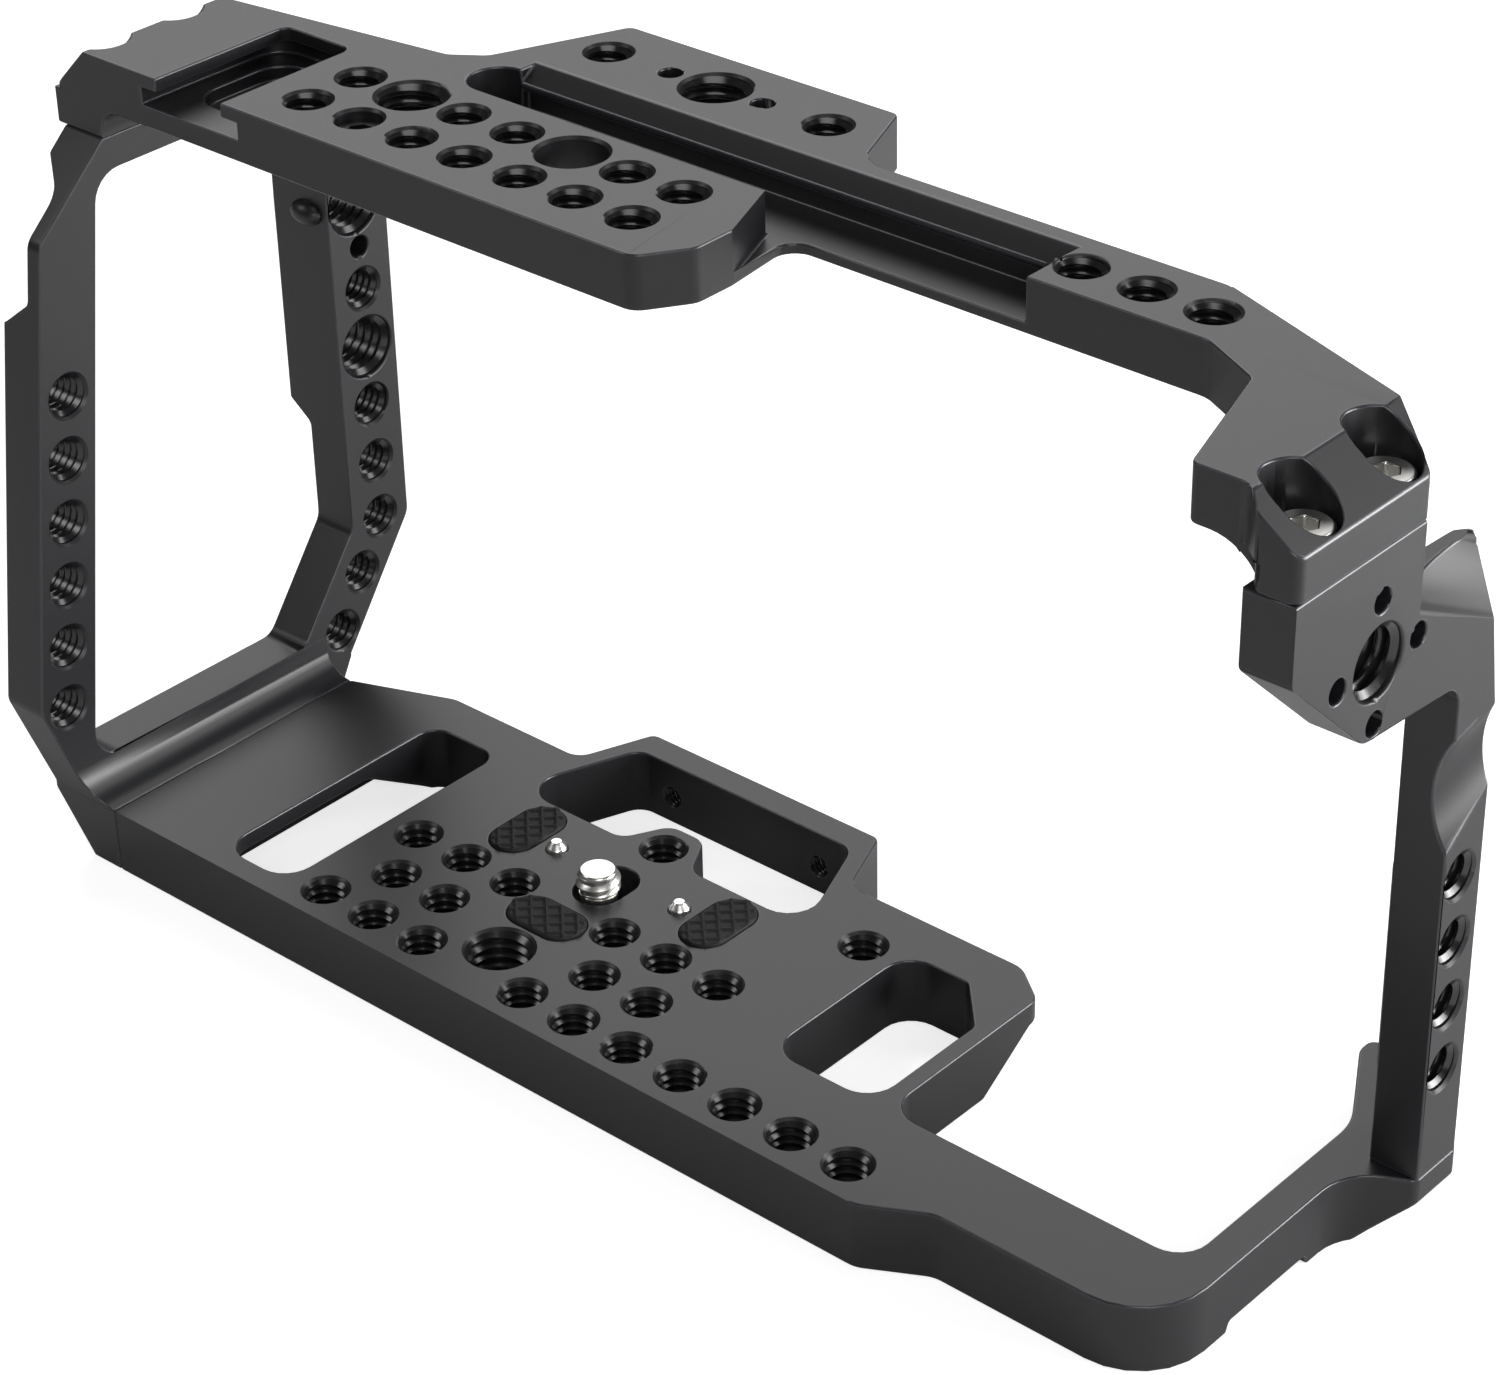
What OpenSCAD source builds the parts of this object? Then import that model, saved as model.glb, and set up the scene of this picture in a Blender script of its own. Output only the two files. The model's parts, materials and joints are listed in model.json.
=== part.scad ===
/* [Cage] */
// Spacing of the threaded holes along every row
pitch = 9.525; // [9.4:0.005:9.7]
// Height from the camera seat to the top face of the top plate
seat_to_top = 109.7; // [108:0.1:112]
// Distance from the screw axis to the inner face of the left side frame
left_reach = 72.9; // [72:0.1:75]
// Distance from the screw axis to the outer face of the right side post
right_reach = 122.4; // [121:0.1:124]

/* [Threads] */
// Outer diameter of the small threaded holes, the quarter inch size
small_thread_d = 6.35; // [6:0.05:6.6]
// Outer diameter of the large threaded holes, the three eighths inch size
large_thread_d = 9.525; // [9:0.025:9.8]
// Width of the countersink round each threaded hole
countersink = 0.4; // [0.2:0.05:0.5]
// Diameter of the locating pin holes beside a large thread
pin_hole_d = 3.2; // [2.8:0.1:3.6]
// Distance from a large thread to its locating pin holes
pin_hole_reach = 8; // [7.8:0.1:8.6]

/* [Bottom plate] */
// Thickness of the bottom plate
plate_t = 10.2; // [9.6:0.1:10.6]
// Distance from the screw axis to the near face of the bottom plate
plate_near = 30; // [29.5:0.1:31]
// Distance between neighbouring rows of holes in the bottom plate
row_step = 9.1; // [9:0.05:9.3]
// Distance from the screw axis to the near row of holes
near_row = 24.3; // [24:0.1:24.8]
// How far the hole grid sits to the left of the screw axis
grid_shift = 0.8; // [0:0.1:1.5]
// Distance from the screw axis to the far face of the front hoop
hoop_far = 35; // [34:0.1:36]
// Width of the wall at the far side of the front hoop
hoop_wall = 4.6; // [4:0.1:5.5]
// Distance from the screw axis to the far edge of the plate beside the hoop
plate_far = 23.3; // [23:0.1:24.5]
// Distance from the screw axis to the left edge of the battery window
window_left = 62.5; // [62:0.1:64]
// Width of the arm that carries the right side post
arm_w = 5; // [4.8:0.1:6]
// Width of the near arm along the battery window
near_arm_w = 12.7; // [12:0.1:14]
// Concave radius between the plate's top and the left side frame
cove_r = 5.4; // [5:0.1:6]
// Height and width of the bevel under the outer edges of the plate
foot_bevel = 6.4; // [5:0.1:6.5]
// Where the near edge steps in toward the battery window, from the screw axis
near_step_x = 71.6; // [71:0.1:73]
// How far the near edge steps in beside the battery window
near_step = 4.9; // [4:0.1:5.5]
// Radius of the near right corner of the battery arm
arm_corner_r = 10.5; // [9:0.1:11]
// How far the foot of the post stands out past the arm
foot_reach = 8; // [7.5:0.1:8.4]
// Distance from the screw axis to the far tip of the foot
foot_far = 40; // [39:0.1:41]
// Width of the left window in the plate
left_slot_w = 13; // [12:0.1:14]
// Width of the right window in the plate
right_slot_w = 17.4; // [16:0.1:18]
// Distance from the screw axis to the lone hole in the right of the plate
lone_hole_x = 36.8; // [36:0.1:37.5]
// How far toward the lens side the pair of far holes sits
far_hole_y = 13.4; // [13:0.1:14]
// Half the outer length of the front hoop
hoop_half = 21.6; // [21:0.1:22.5]
// Depth of the shallow recess under the arm that carries the post
arm_recess = 1.5; // [1:0.1:2]
// Thickness that the pocket under the left window leaves
left_pocket_web = 2.6; // [2:0.1:4]

/* [Camera screw] */
// How far the screw stands above the camera seat
screw_rise = 3.6; // [3:0.1:5]
// How far the screw can slide toward the lens side
screw_travel = 3; // [2:0.1:3.5]
// Gap between the screw and the slot round it
slot_gap = 0.42; // [0.3:0.02:0.6]
// Diameter of the screw's head
screw_head_d = 11; // [10.5:0.1:11.4]
// Depth of the screw's head
screw_head_h = 3.2; // [2.8:0.1:3.4]
// Thickness of the washer under the head
washer_t = 0.8; // [0.6:0.05:0.9]

/* [Seat] */
// Distance from the screw axis to each locating pin
seat_pin_reach = 11.7; // [11.5:0.1:12.2]
// How far toward the lens side the pins sit
seat_forward = 3.8; // [3.5:0.1:4.2]
// Diameter of the locating pins
seat_pin_d = 3.1; // [2.9:0.05:3.3]
// How far the locating pins stand above the seat
seat_pin_rise = 2; // [1.5:0.1:2.4]
// Distance from the screw axis to the middle of each side pad
pad_reach = 18.2; // [18.1:0.1:18.6]
// How far toward the lens side the side pads sit
pad_forward = 4.6; // [4.4:0.1:5]
// Distance from the screw axis to the middle of the near pad
pad_back = 9.6; // [9.5:0.1:9.7]
// Length of the rubber pads
pad_l = 12.6; // [12:0.1:12.8]
// Width of the rubber pads
pad_w = 7.2; // [6.8:0.1:7.3]
// How far the rubber pads stand above the seat
pad_rise = 0.7; // [0.4:0.1:1]

/* [Left side frame] */
// Thickness of the lower part of the left side frame
frame_t = 7.6; // [7:0.1:8.5]
// Thickness of the far bar above its step
far_bar_t = 11.6; // [11:0.1:12.5]
// Thickness of the near bar above its step
near_bar_t = 2.6; // [2.4:0.1:3]
// Width of the far bar
far_bar_w = 11.6; // [11.2:0.1:12.4]
// Width of the near bar
near_bar_w = 10; // [9.8:0.1:10.6]
// Lean of the near bar from upright
near_lean = 7.7; // [7:0.1:8.4]
// Distance from the screw axis to the far bar's near face
far_bar_y = 24.6; // [24:0.1:25.5]
// Height of the seam between the frame and the top plate above the seat
seam_z = 97.9; // [97:0.1:98.5]
// Height of the top hole in the near bar above the seat
near_hole_z = 63.3; // [62.5:0.1:64]
// Distance from the screw axis to the top hole in the near bar
near_hole_y = 25.2; // [25:0.1:25.6]
// Height of the top small hole in the far bar above the seat
far_hole_z = 58.8; // [58:0.1:59.5]
// Lean of the slanted foot of the far bar from upright
far_lean = 35.6; // [34.5:0.1:36.5]
// Height of the top face of the frame's lower rail
rail_z = 5; // [4.6:0.1:5.2]
// Width of the bevel under the frame's foot
frame_bevel_w = 7.2; // [6:0.1:7.6]
// Height of the bevel under the frame's foot
frame_bevel_h = 9; // [8:0.1:9.4]
// Height of the frame's upper rail
upper_rail_h = 4.9; // [4.5:0.1:6]

/* [Top plate] */
// Thickness of the top plate
top_t = 7.5; // [7.2:0.1:8.2]
// Distance from the screw axis to the near face of the hole field
top_near = 14.5; // [14:0.1:15]
// Distance from the screw axis to the far face of the front pad
pad_far = 38.2; // [37:0.1:39]
// Distance from the screw axis to the far face of the rail and arm
arm_far = 24.1; // [23.5:0.1:25]
// Distance from the screw axis to the near face of the arm
arm_near = 10.8; // [10.4:0.1:11.2]
// Distance from the screw axis to the right end of the rail
rail_end = 64.2; // [63:0.1:65]
// Width of the bevel along the rail's far edge
rail_bevel = 3; // [2.4:0.1:3.4]
// Width of the shoe's upper opening
shoe_mouth = 12.6; // [12.4:0.1:13]
// Width of the shoe's lower slot
shoe_slot = 18.6; // [18.5:0.1:19]
// Thickness of the shoe's lips
shoe_lip = 2; // [1.6:0.1:2.2]
// Depth of the shoe's lower slot
shoe_gap = 2.4; // [2.1:0.1:2.6]

/* [Right side post] */
// Thickness of the post and of its head
post_t = 7.2; // [7:0.1:8]
// Width of the post
post_w = 8.4; // [8:0.1:9]
// Depth of the waist in the post's right face
waist_depth = 2.3; // [1.5:0.1:3]
// Distance from the screw axis to the near face of the post
post_y = 18.6; // [18.2:0.1:19]
// Distance from the screw axis to the near face of the head
head_near = 16.7; // [16:0.1:17.2]
// Depth of the top plate's block over the head, below the underside of the top plate
head_block_h = 3.6; // [3:0.1:4]
// Height of the large thread in the head
boss_z = 83.9; // [83:0.1:84.5]

/* [Fasteners] */
// Diameter of the joining screws
bolt_d = 4; // [3.8:0.1:4.2]
// Diameter of the joining screws' heads
bolt_head_d = 7; // [6.6:0.1:7]
// Depth of the joining screws' heads
bolt_head_h = 4; // [3.6:0.1:4]
// Width across the flats of the socket in each head
bolt_key = 3; // [2.5:0.1:3.2]
// Gap between a screw's shank and the hole that it passes through
bolt_gap = 0.25; // [0.15:0.05:0.4]
// Diameter of the dowel in the foot of the post
dowel_d = 2; // [1.8:0.1:2.2]

/* [Hidden] */
$fn = 64;
// Overrun of every cut past the faces that it opens
over = 1;
// Steps in a rounded corner of an outline
corner_steps = 6;
// Radii of the smaller and larger corners of the outlines
fine_r = 1.5;
soft_r = 3;
round_r = 4.5;
small_r = small_thread_d / 2;
large_r = large_thread_d / 2;
pin_hole_r = pin_hole_d / 2;

// Left side frame, seen along X as distances from the screw axis and heights
frame_in = -left_reach;
frame_out = frame_in - frame_t;
far_out = frame_in - far_bar_t;
seam_x = frame_in + cove_r;
far_bar_far = far_bar_y + far_bar_w;
near_half = near_bar_w / 2 / cos(near_lean);
frame_near = plate_near + near_bar_w;
function near_line(z) = -near_hole_y - (near_hole_z - z) * tan(near_lean);
near_knee_z = 16.9;
near_shoulder_z = 86.4;
far_knee_z = 19.2;
window_top = seam_z - upper_rail_h;
foot_far_y = 17;
near_step_z = 73.5;
near_step_rise = 4;
near_neck_z = 91.5;
far_step_z = 36.5;
far_step_rise = 3;
near_holes = 6;
slant_hole_y = 25.9;
slant_hole_z = 12.9;
slant_hole_lean = 30.5;
top_big_hole_z = 72.6;
latch_hole_z = 65.5;

// Top plate
top_z = seat_to_top;
top_under = top_z - top_t;
joint_z = top_under - head_block_h;
field_right = 29;
groove_left = -29.6;
groove_near = 9.9;
groove_web = 1.5;
groove_floor = top_under + groove_web;
rail_undercut = 1.3;
rail_nose_w = 5.9;
nose_y = arm_far - rail_nose_w;
groove_wall = nose_y + rail_undercut;
rail_nose_h = 1.9;
nose_z = top_z - rail_nose_h;
end_overhang = 1.2;
end_out = frame_out - end_overhang;
end_far = 10.1;
shoe_x = -54.4;
shoe_far = 9;
shoe_pocket = 2;
shoe_pocket_w = 11.6;
row_a_y = -6.4;
row_b_y = row_a_y + pitch;
pad_row_y = 29.8;
field_x = -40;
arm_row_x = 67.7;
arm_row_y = 17.1;
head_bevel_w = 7.6;
head_x = right_reach - head_bevel_w;
bevel_drop = 5.4;
fillet_l = 6.5;
left_fillet = 3.8;
head_inset = 16.4;
head_left = right_reach - head_inset;
head_side = -14;
pad_right = 22.4;
left_bevel = 6.4;
pad_left = -24.2;
pad_middle = -1.4;

// Right side post
post_in = right_reach - post_t;
post_far = post_y + post_w;
head_far = 8.6;
boss_y = 0.5;
boss_drop = 9.9;
boss_under = boss_z - boss_drop;
ear_z = 88.3;
scoop_tilt = 27;
scoop_r = 8.3;
scoop_out = 3.9;
scoop_z = 89.7;
waist_r = 12;
waist_z = 57.5;
waist_tilt = 25;
waist_turn = 9;
post_hole_wall = 0.521;
post_hole_y = post_y + small_r + post_hole_wall;
post_hole_z = 44;
post_holes = 4;

// Fasteners
head_tap = 9;
foot_tap = 9;
grub_l = 6;
pocket_h = top_z - joint_z + over;
pocket_reach = 1.2;
pin_hole_h = 5;
bolt_r = bolt_d / 2;
bolt_head_r = bolt_head_d / 2;
pocket_gap = 0.6;
pocket_r = bolt_head_r + pocket_gap;
head_web = 1.7;
head_seat = joint_z + head_web;
seam_web = 2.4;
seam_seat = seam_z + seam_web;
head_bolt_inset = 4.6;
head_bolt_x = right_reach - head_bolt_inset;
left_bolt_shift = 0.7;
left_bolt_x = frame_in - frame_t / 2 - left_bolt_shift;
bolt_near_y = -9.3;
bolt_pair = 15.6;
left_bolt_pair = 13;
foot_bolt_drop = 4;
foot_bolt_z = -foot_bolt_drop;
foot_bolt_web = 4.1;
foot_bolt_x = seam_x - foot_bolt_web;
foot_bolt_y = -19;
foot_bolt_pair = 27;
post_bolt_inset = 4.4;
post_bolt_x = right_reach - post_bolt_inset;
post_bolt_share = 0.36;
post_bolt_y = post_y + post_w * post_bolt_share;
foot_web = 1.9;
flat_head_h = 2.2;
flat_key_h = 1.5;
foot_seat = -foot_web;
dowel_share = 0.84;
dowel_y = post_y + post_w * dowel_share;
dowel_half = 3;
tap_depth = 7;

// Places of the holes along each row, as shares of the pitch
near_row_shares = [0, 1, 2, 4, 5, 6, 7, 8, 9, 10];
middle_row_shares = [0.5, 1.5, 4.5, 5.5];
far_row_shares = [0, 1, 2, 4, 5, 6];
field_near_shares = [0, 1, 2, 3, 4, 5, 6];
field_far_shares = [0, 2, 3, 5, 6];
pad_shares = [-2, 2];
arm_shares = [0, 1, 2];

// Bottom plate
plate_left = seam_x;
arm_out = right_reach - foot_reach;
arm_in = arm_out - arm_w;
window_near = -plate_near + near_step + near_arm_w;
grid_x = -grid_shift - 3 * pitch;
slot_r = small_r + slot_gap;
screw_pocket_r = screw_head_d / 2 + pocket_gap;
stack_gap = 0.12;
screw_neck_r = 2.6;
neck_gap = 0.12;
screw_pocket_h = screw_head_h + washer_t + 2 * stack_gap + pocket_gap;
pocket_top = -plate_t + screw_pocket_h;
screw_head_under = pocket_top - washer_t - 2 * stack_gap - screw_head_h;
pad_sink = 0.8;
pin_sink = 3;
big_hole_y = -18.9;
hoop_near = 11.8;
hoop_hole_reach = 14.1;
hoop_hole_r = 1.6;
hoop_hole_z = -5.8;
left_slot_inset = 19.1;
left_slot_x = plate_left + left_slot_inset;
slot_near = -26.2;
slot_far = 15.8;
right_slot_inset = 20.1;
right_slot_x = window_left - right_slot_inset;
screw_tip = 0.7;
screw_shank_top = screw_rise - screw_tip;
coin_slot_w = 1.6;
coin_slot_h = 1.4;
left_pocket_w = 8;
left_pocket_far = 2;
corner_relief_w = 7;
corner_relief_y = 7.5;
corner_relief_far = 17.3;
corner_web = 3.6;
arm_recess_near = -9.5;
arm_recess_far = 6.5;

function unit(v) = v / norm(v);
function flat(p) = [p[0], p[1]];
// Points that round corner b between corners a and c, with the radius held in b[2]
function round_corner(a, b, c) =
    let (u = unit(flat(a) - flat(b)), v = unit(flat(c) - flat(b)),
        half = acos(u * v) / 2,
        centre = flat(b) + unit(u + v) * b[2] / sin(half),
        first = flat(b) + u * b[2] / tan(half) - centre,
        last = flat(b) + v * b[2] / tan(half) - centre,
        start = atan2(first[1], first[0]),
        turn = atan2(last[1], last[0]) - start,
        sweep = turn > 180 ? turn - 360 : turn < -180 ? turn + 360 : turn)
    [for (i = [0:corner_steps])
        centre + b[2] * [cos(start + sweep * i / corner_steps), sin(start + sweep * i / corner_steps)]];
function rounded(c) = let (m = len(c)) [for (i = [0:m - 1])
    each (c[i][2] > 0 ? round_corner(c[(i + m - 1) % m], c[i], c[(i + 1) % m]) : [flat(c[i])])];

// Slab whose outline is drawn from above
module slab(corners, z0, z1) {
    translate([0, 0, z0])
        linear_extrude(z1 - z0)
            polygon(rounded(corners));
}

// Slab whose outline is drawn as y and z, reaching along X
module slab_x(corners, x0, x1) {
    translate([x0, 0, 0])
        rotate([90, 0, 90])
            linear_extrude(x1 - x0)
                polygon(rounded(corners));
}

// Slab whose outline is drawn as x and z, reaching along Y
module slab_y(corners, y0, y1) {
    translate([0, y1, 0])
        rotate([90, 0, 0])
            linear_extrude(y1 - y0)
                polygon(rounded(corners));
}

// Through hole along Z from z0 to z1 with a countersink at both mouths
module thread_cut(r, z0, z1) {
    translate([0, 0, z0 - over])
        cylinder(r = r, h = z1 - z0 + 2 * over);
    translate([0, 0, z1 - countersink])
        cylinder(r1 = r, r2 = r + countersink + over, h = countersink + over);
    translate([0, 0, z0 - over])
        cylinder(r1 = r + countersink + over, r2 = r, h = countersink + over);
}

// Through hole along X from x0 to x1, at the given y and z
module thread_cut_x(r, x0, x1, y, z) {
    translate([0, y, z])
        rotate([0, 90, 0])
            thread_cut(r, x0, x1);
}

// Through holes in a row along X
module row_cut(shares, x, y, z0, z1) {
    for (i = shares)
        translate([x + i * pitch, y, 0])
            thread_cut(small_r, z0, z1);
}

// Stadium that reaches a given way along Y from its first centre
module stadium(r, reach, z0, z1) {
    translate([0, 0, z0])
        cylinder(r = r, h = z1 - z0);
    translate([0, reach, z0])
        cylinder(r = r, h = z1 - z0);
    translate([-r, 0, z0])
        cube([2 * r, reach, z1 - z0]);
}

// Cap screw that stands on z = 0 and drives down, with a hexagonal socket
module cap_screw(shank_l) {
    difference() {
        union() {
            cylinder(r = bolt_head_r, h = bolt_head_h - bolt_head_h / 10);
            translate([0, 0, bolt_head_h - bolt_head_h / 10])
                cylinder(r1 = bolt_head_r, r2 = bolt_head_r - bolt_head_h / 10, h = bolt_head_h / 10);
            translate([0, 0, -shank_l])
                cylinder(r = bolt_r, h = shank_l);
        }
        translate([0, 0, bolt_head_h / 2])
            cylinder(r = bolt_key / 2 / cos(30), h = bolt_head_h, $fn = 6);
    }
}

// Clearance hole and head pocket for a cap screw that drives down from z = 0
module cap_screw_cut(grip, pocket) {
    translate([0, 0, -grip - over])
        cylinder(r = bolt_r + bolt_gap, h = grip + 2 * over);
    cylinder(r = pocket_r, h = pocket);
}

// Countersunk screw that drives down, with the narrow end of its head at z = 0
module flat_screw(shank_l) {
    difference() {
        union() {
            cylinder(r1 = bolt_r, r2 = bolt_head_r, h = flat_head_h);
            translate([0, 0, -shank_l])
                cylinder(r = bolt_r, h = shank_l);
        }
        translate([0, 0, flat_head_h - flat_key_h])
            cylinder(r = bolt_key / 2 / cos(30), h = flat_head_h, $fn = 6);
    }
}

// Clearance hole, cone and driver passage for a countersunk screw
module flat_screw_cut(grip, pocket) {
    translate([0, 0, -grip - over])
        cylinder(r = bolt_r + bolt_gap, h = grip + 2 * over);
    cylinder(r1 = bolt_r + bolt_gap, r2 = bolt_head_r + bolt_gap, h = flat_head_h);
    translate([0, 0, flat_head_h])
        cylinder(r = bolt_head_r + bolt_gap, h = pocket);
}

// Tapped hole that a screw fills, going down from z = 0
module tap_cut(depth) {
    translate([0, 0, -depth])
        cylinder(r = bolt_r, h = depth + over);
}

// Outline of the bottom plate
plate_outline = [
    [plate_left, -plate_near, 0],
    [near_step_x, -plate_near, round_r],
    [near_step_x + 1.8 * near_step, near_step - plate_near, round_r],
    [arm_out, near_step - plate_near, arm_corner_r],
    [arm_out, post_y - foot_reach / 2, foot_reach],
    [right_reach, post_y, fine_r],
    [right_reach, post_far, fine_r],
    [arm_out, foot_far, soft_r],
    [arm_in - foot_reach, foot_far, fine_r],
    [arm_in - foot_reach, foot_far - soft_r, soft_r],
    [arm_in, plate_far, arm_corner_r],
    [arm_in, window_near, round_r],
    [window_left, window_near, round_r],
    [window_left, plate_far - round_r, soft_r],
    [window_left - round_r - fine_r, plate_far, round_r],
    [hoop_half + round_r, plate_far, soft_r],
    [hoop_half, hoop_far, fine_r],
    [-hoop_half, hoop_far, fine_r],
    [-hoop_half - round_r, plate_far, soft_r],
    [plate_left + 3.6 * round_r, plate_far, round_r],
    [plate_left, foot_far_y, 0]];

// Window inside the front hoop, with the swelling round the hole on its near side
hoop_window = [
    [-hoop_half - 1.3 * round_r, hoop_near, round_r],
    [-small_r - 0.8 * round_r, hoop_near, soft_r],
    [-small_r, hoop_near + 1.5 * round_r, soft_r],
    [small_r, hoop_near + 1.5 * round_r, soft_r],
    [small_r + 0.8 * round_r, hoop_near, soft_r],
    [hoop_half + 1.3 * round_r, hoop_near, round_r],
    [hoop_half - 0.3 * round_r, hoop_far - hoop_wall, soft_r],
    [-hoop_half + 0.3 * round_r, hoop_far - hoop_wall, soft_r]];

left_slot = [
    [left_slot_x, slot_near, round_r],
    [left_slot_x + left_slot_w, slot_near, round_r],
    [left_slot_x + left_slot_w, slot_far, soft_r],
    [left_slot_x, slot_far, soft_r]];

right_slot = [
    [right_slot_x, window_near, round_r],
    [right_slot_x + right_slot_w, window_near, round_r],
    [right_slot_x + right_slot_w, slot_far - 1.6 * round_r, fine_r],
    [right_slot_x + right_slot_w - 1.5 * round_r, slot_far, fine_r],
    [right_slot_x, slot_far, round_r]];

module bottom_plate() {
    color("#2c2c2f")
    difference() {
        slab(plate_outline, -plate_t, 0);
        slab(hoop_window, -plate_t - over, over);
        slab(left_slot, -plate_t - over, over);
        slab(right_slot, -plate_t - over, over);
        plate_threads();
        camera_screw_cut();
        seat_cuts();
        // Bevel under the outer edge of the foot
        slab_y([[right_reach - foot_bevel - over, -plate_t - over, 0],
            [right_reach + over, -plate_t - over, 0],
            [right_reach + over, -plate_t + foot_bevel + over, 0]], post_y - 2 * foot_reach, foot_far);
        underside_reliefs();
        // Screw and dowel of the post's foot
        translate([post_bolt_x, post_bolt_y, foot_seat])
            mirror([0, 0, 1])
                flat_screw_cut(-foot_seat, plate_t);
        translate([post_bolt_x, dowel_y, -dowel_half])
            cylinder(d = dowel_d, h = dowel_half + over);
        // Tapped holes for the screws of the left side frame
        for (i = [0, 1])
            translate([plate_left, foot_bolt_y + i * foot_bolt_pair, foot_bolt_z])
                rotate([0, -90, 0])
                    tap_cut(tap_depth);
    }
}

// Pocket beside the left window, relief under the right corner and recess under the arm
module underside_reliefs() {
    slab_x([[slot_near, -plate_t - over, 0],
        [slot_near, -left_pocket_web, fine_r],
        [left_pocket_far, -left_pocket_web, round_r],
        [slot_far - fine_r, -plate_t, 0],
        [slot_far - fine_r, -plate_t - over, 0]], left_slot_x - left_pocket_w, left_slot_x + over);
    slab_x([[corner_relief_y, -plate_t - over, 0],
        [corner_relief_y, -plate_t, 0],
        [corner_relief_far, -corner_web, 0],
        [plate_far + over, -corner_web, 0],
        [plate_far + over, -plate_t - over, 0]], window_left - corner_relief_w, window_left + over);
    slab_x([[arm_recess_near - over, -plate_t - over, 0],
        [arm_recess_near, -plate_t + arm_recess, fine_r / 2],
        [arm_recess_far, -plate_t + arm_recess, fine_r / 2],
        [arm_recess_far + over, -plate_t - over, 0]], arm_in - foot_reach, right_reach + over);
}

module plate_threads() {
    row_cut(near_row_shares, grid_x, -near_row, -plate_t, 0);
    row_cut(middle_row_shares, grid_x, -near_row + row_step, -plate_t, 0);
    row_cut(far_row_shares, grid_x, -near_row + 2 * row_step, -plate_t, 0);
    translate([-grid_shift, big_hole_y, 0])
        thread_cut(large_r, -plate_t, 0);
    translate([0, far_hole_y, 0])
        thread_cut(small_r, -plate_t, 0);
    translate([lone_hole_x, far_hole_y, 0])
        thread_cut(small_r, -plate_t, 0);
    for (s = [-1, 1])
        translate([s * hoop_hole_reach, hoop_far - hoop_wall - over, hoop_hole_z])
            rotate([-90, 0, 0])
                cylinder(r = hoop_hole_r, h = hoop_wall + 2 * over);
}

module camera_screw_cut() {
    stadium(slot_r, screw_travel, -plate_t, over);
    stadium(screw_pocket_r, screw_travel, -plate_t - over, pocket_top);
}

module pad_shape(z0, z1) {
    translate([0, -(pad_l - pad_w) / 2, 0])
        stadium(pad_w / 2, pad_l - pad_w, z0, z1);
}

module place_pad(side) {
    if (side == 0)
        translate([-grid_shift, -pad_back, 0])
            rotate([0, 0, 90])
                children();
    else
        translate([side * pad_reach, pad_forward, 0])
            children();
}

module seat_cuts() {
    for (side = [-1, 0, 1])
        place_pad(side)
            pad_shape(-pad_sink, over);
    for (side = [-1, 1])
        translate([side * seat_pin_reach, seat_forward, -pin_sink])
            cylinder(d = seat_pin_d, h = pin_sink + over);
}

module rubber_pad(side) {
    color("#202022")
    place_pad(side)
        pad_shape(-pad_sink, pad_rise);
}

module locating_pin(side) {
    color("#c9c9cc")
    translate([side * seat_pin_reach, seat_forward, 0]) {
        translate([0, 0, -pin_sink])
            cylinder(d = seat_pin_d, h = pin_sink + seat_pin_rise / 4);
        translate([0, 0, seat_pin_rise / 4])
            cylinder(d1 = seat_pin_d, d2 = seat_pin_d / 2, h = seat_pin_rise * 3 / 4);
    }
}

// Quarter inch screw that stands up through the slot, seen with its head below
module camera_screw() {
    color("#d5d5d8")
    difference() {
        union() {
            translate([0, 0, screw_head_under])
                cylinder(d = screw_head_d, h = screw_head_h);
            // Neck that the captive washer turns on, below the threaded tip
            translate([0, 0, screw_head_under])
                cylinder(r = screw_neck_r, h = screw_shank_top - screw_head_under);
            cylinder(r = small_r, h = screw_shank_top);
            translate([0, 0, screw_shank_top])
                cylinder(r1 = small_r, r2 = small_r - screw_tip, h = screw_tip);
        }
        // Coin slot across the head
        translate([-screw_head_d, -coin_slot_w / 2, -plate_t - over])
            cube([2 * screw_head_d, coin_slot_w, coin_slot_h + over + pocket_gap]);
    }
}

module camera_screw_washer() {
    color("#e8e8e0")
    translate([0, 0, pocket_top - stack_gap - washer_t])
        difference() {
            cylinder(d = screw_head_d, h = washer_t);
            translate([0, 0, -over])
                cylinder(r = screw_neck_r + neck_gap, h = washer_t + 2 * over);
        }
}

// Outline of the left side frame, as y and z
frame_outline = [
    [-top_near, seam_z, 0],
    [near_line(near_shoulder_z) - near_half, near_shoulder_z, soft_r],
    [near_line(near_knee_z) - near_half, near_knee_z, soft_r],
    [-plate_near, 0, 0],
    [-plate_near, -plate_t, 0],
    [foot_far_y, -plate_t, 0],
    [far_bar_far - far_knee_z * tan(far_lean), 0, 0],
    [far_bar_far, far_knee_z, soft_r],
    [far_bar_far, near_shoulder_z, soft_r],
    [far_bar_y, seam_z, soft_r]];

// Window of the left side frame, as y and z
frame_window = [
    [near_line(window_top) + near_half, window_top, round_r],
    [near_line(rail_z) + near_half, rail_z, round_r],
    [far_bar_y - (far_knee_z - rail_z) * tan(far_lean) - fine_r, rail_z, soft_r],
    [far_bar_y, far_knee_z + fine_r, soft_r],
    [far_bar_y, window_top, round_r]];

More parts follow.
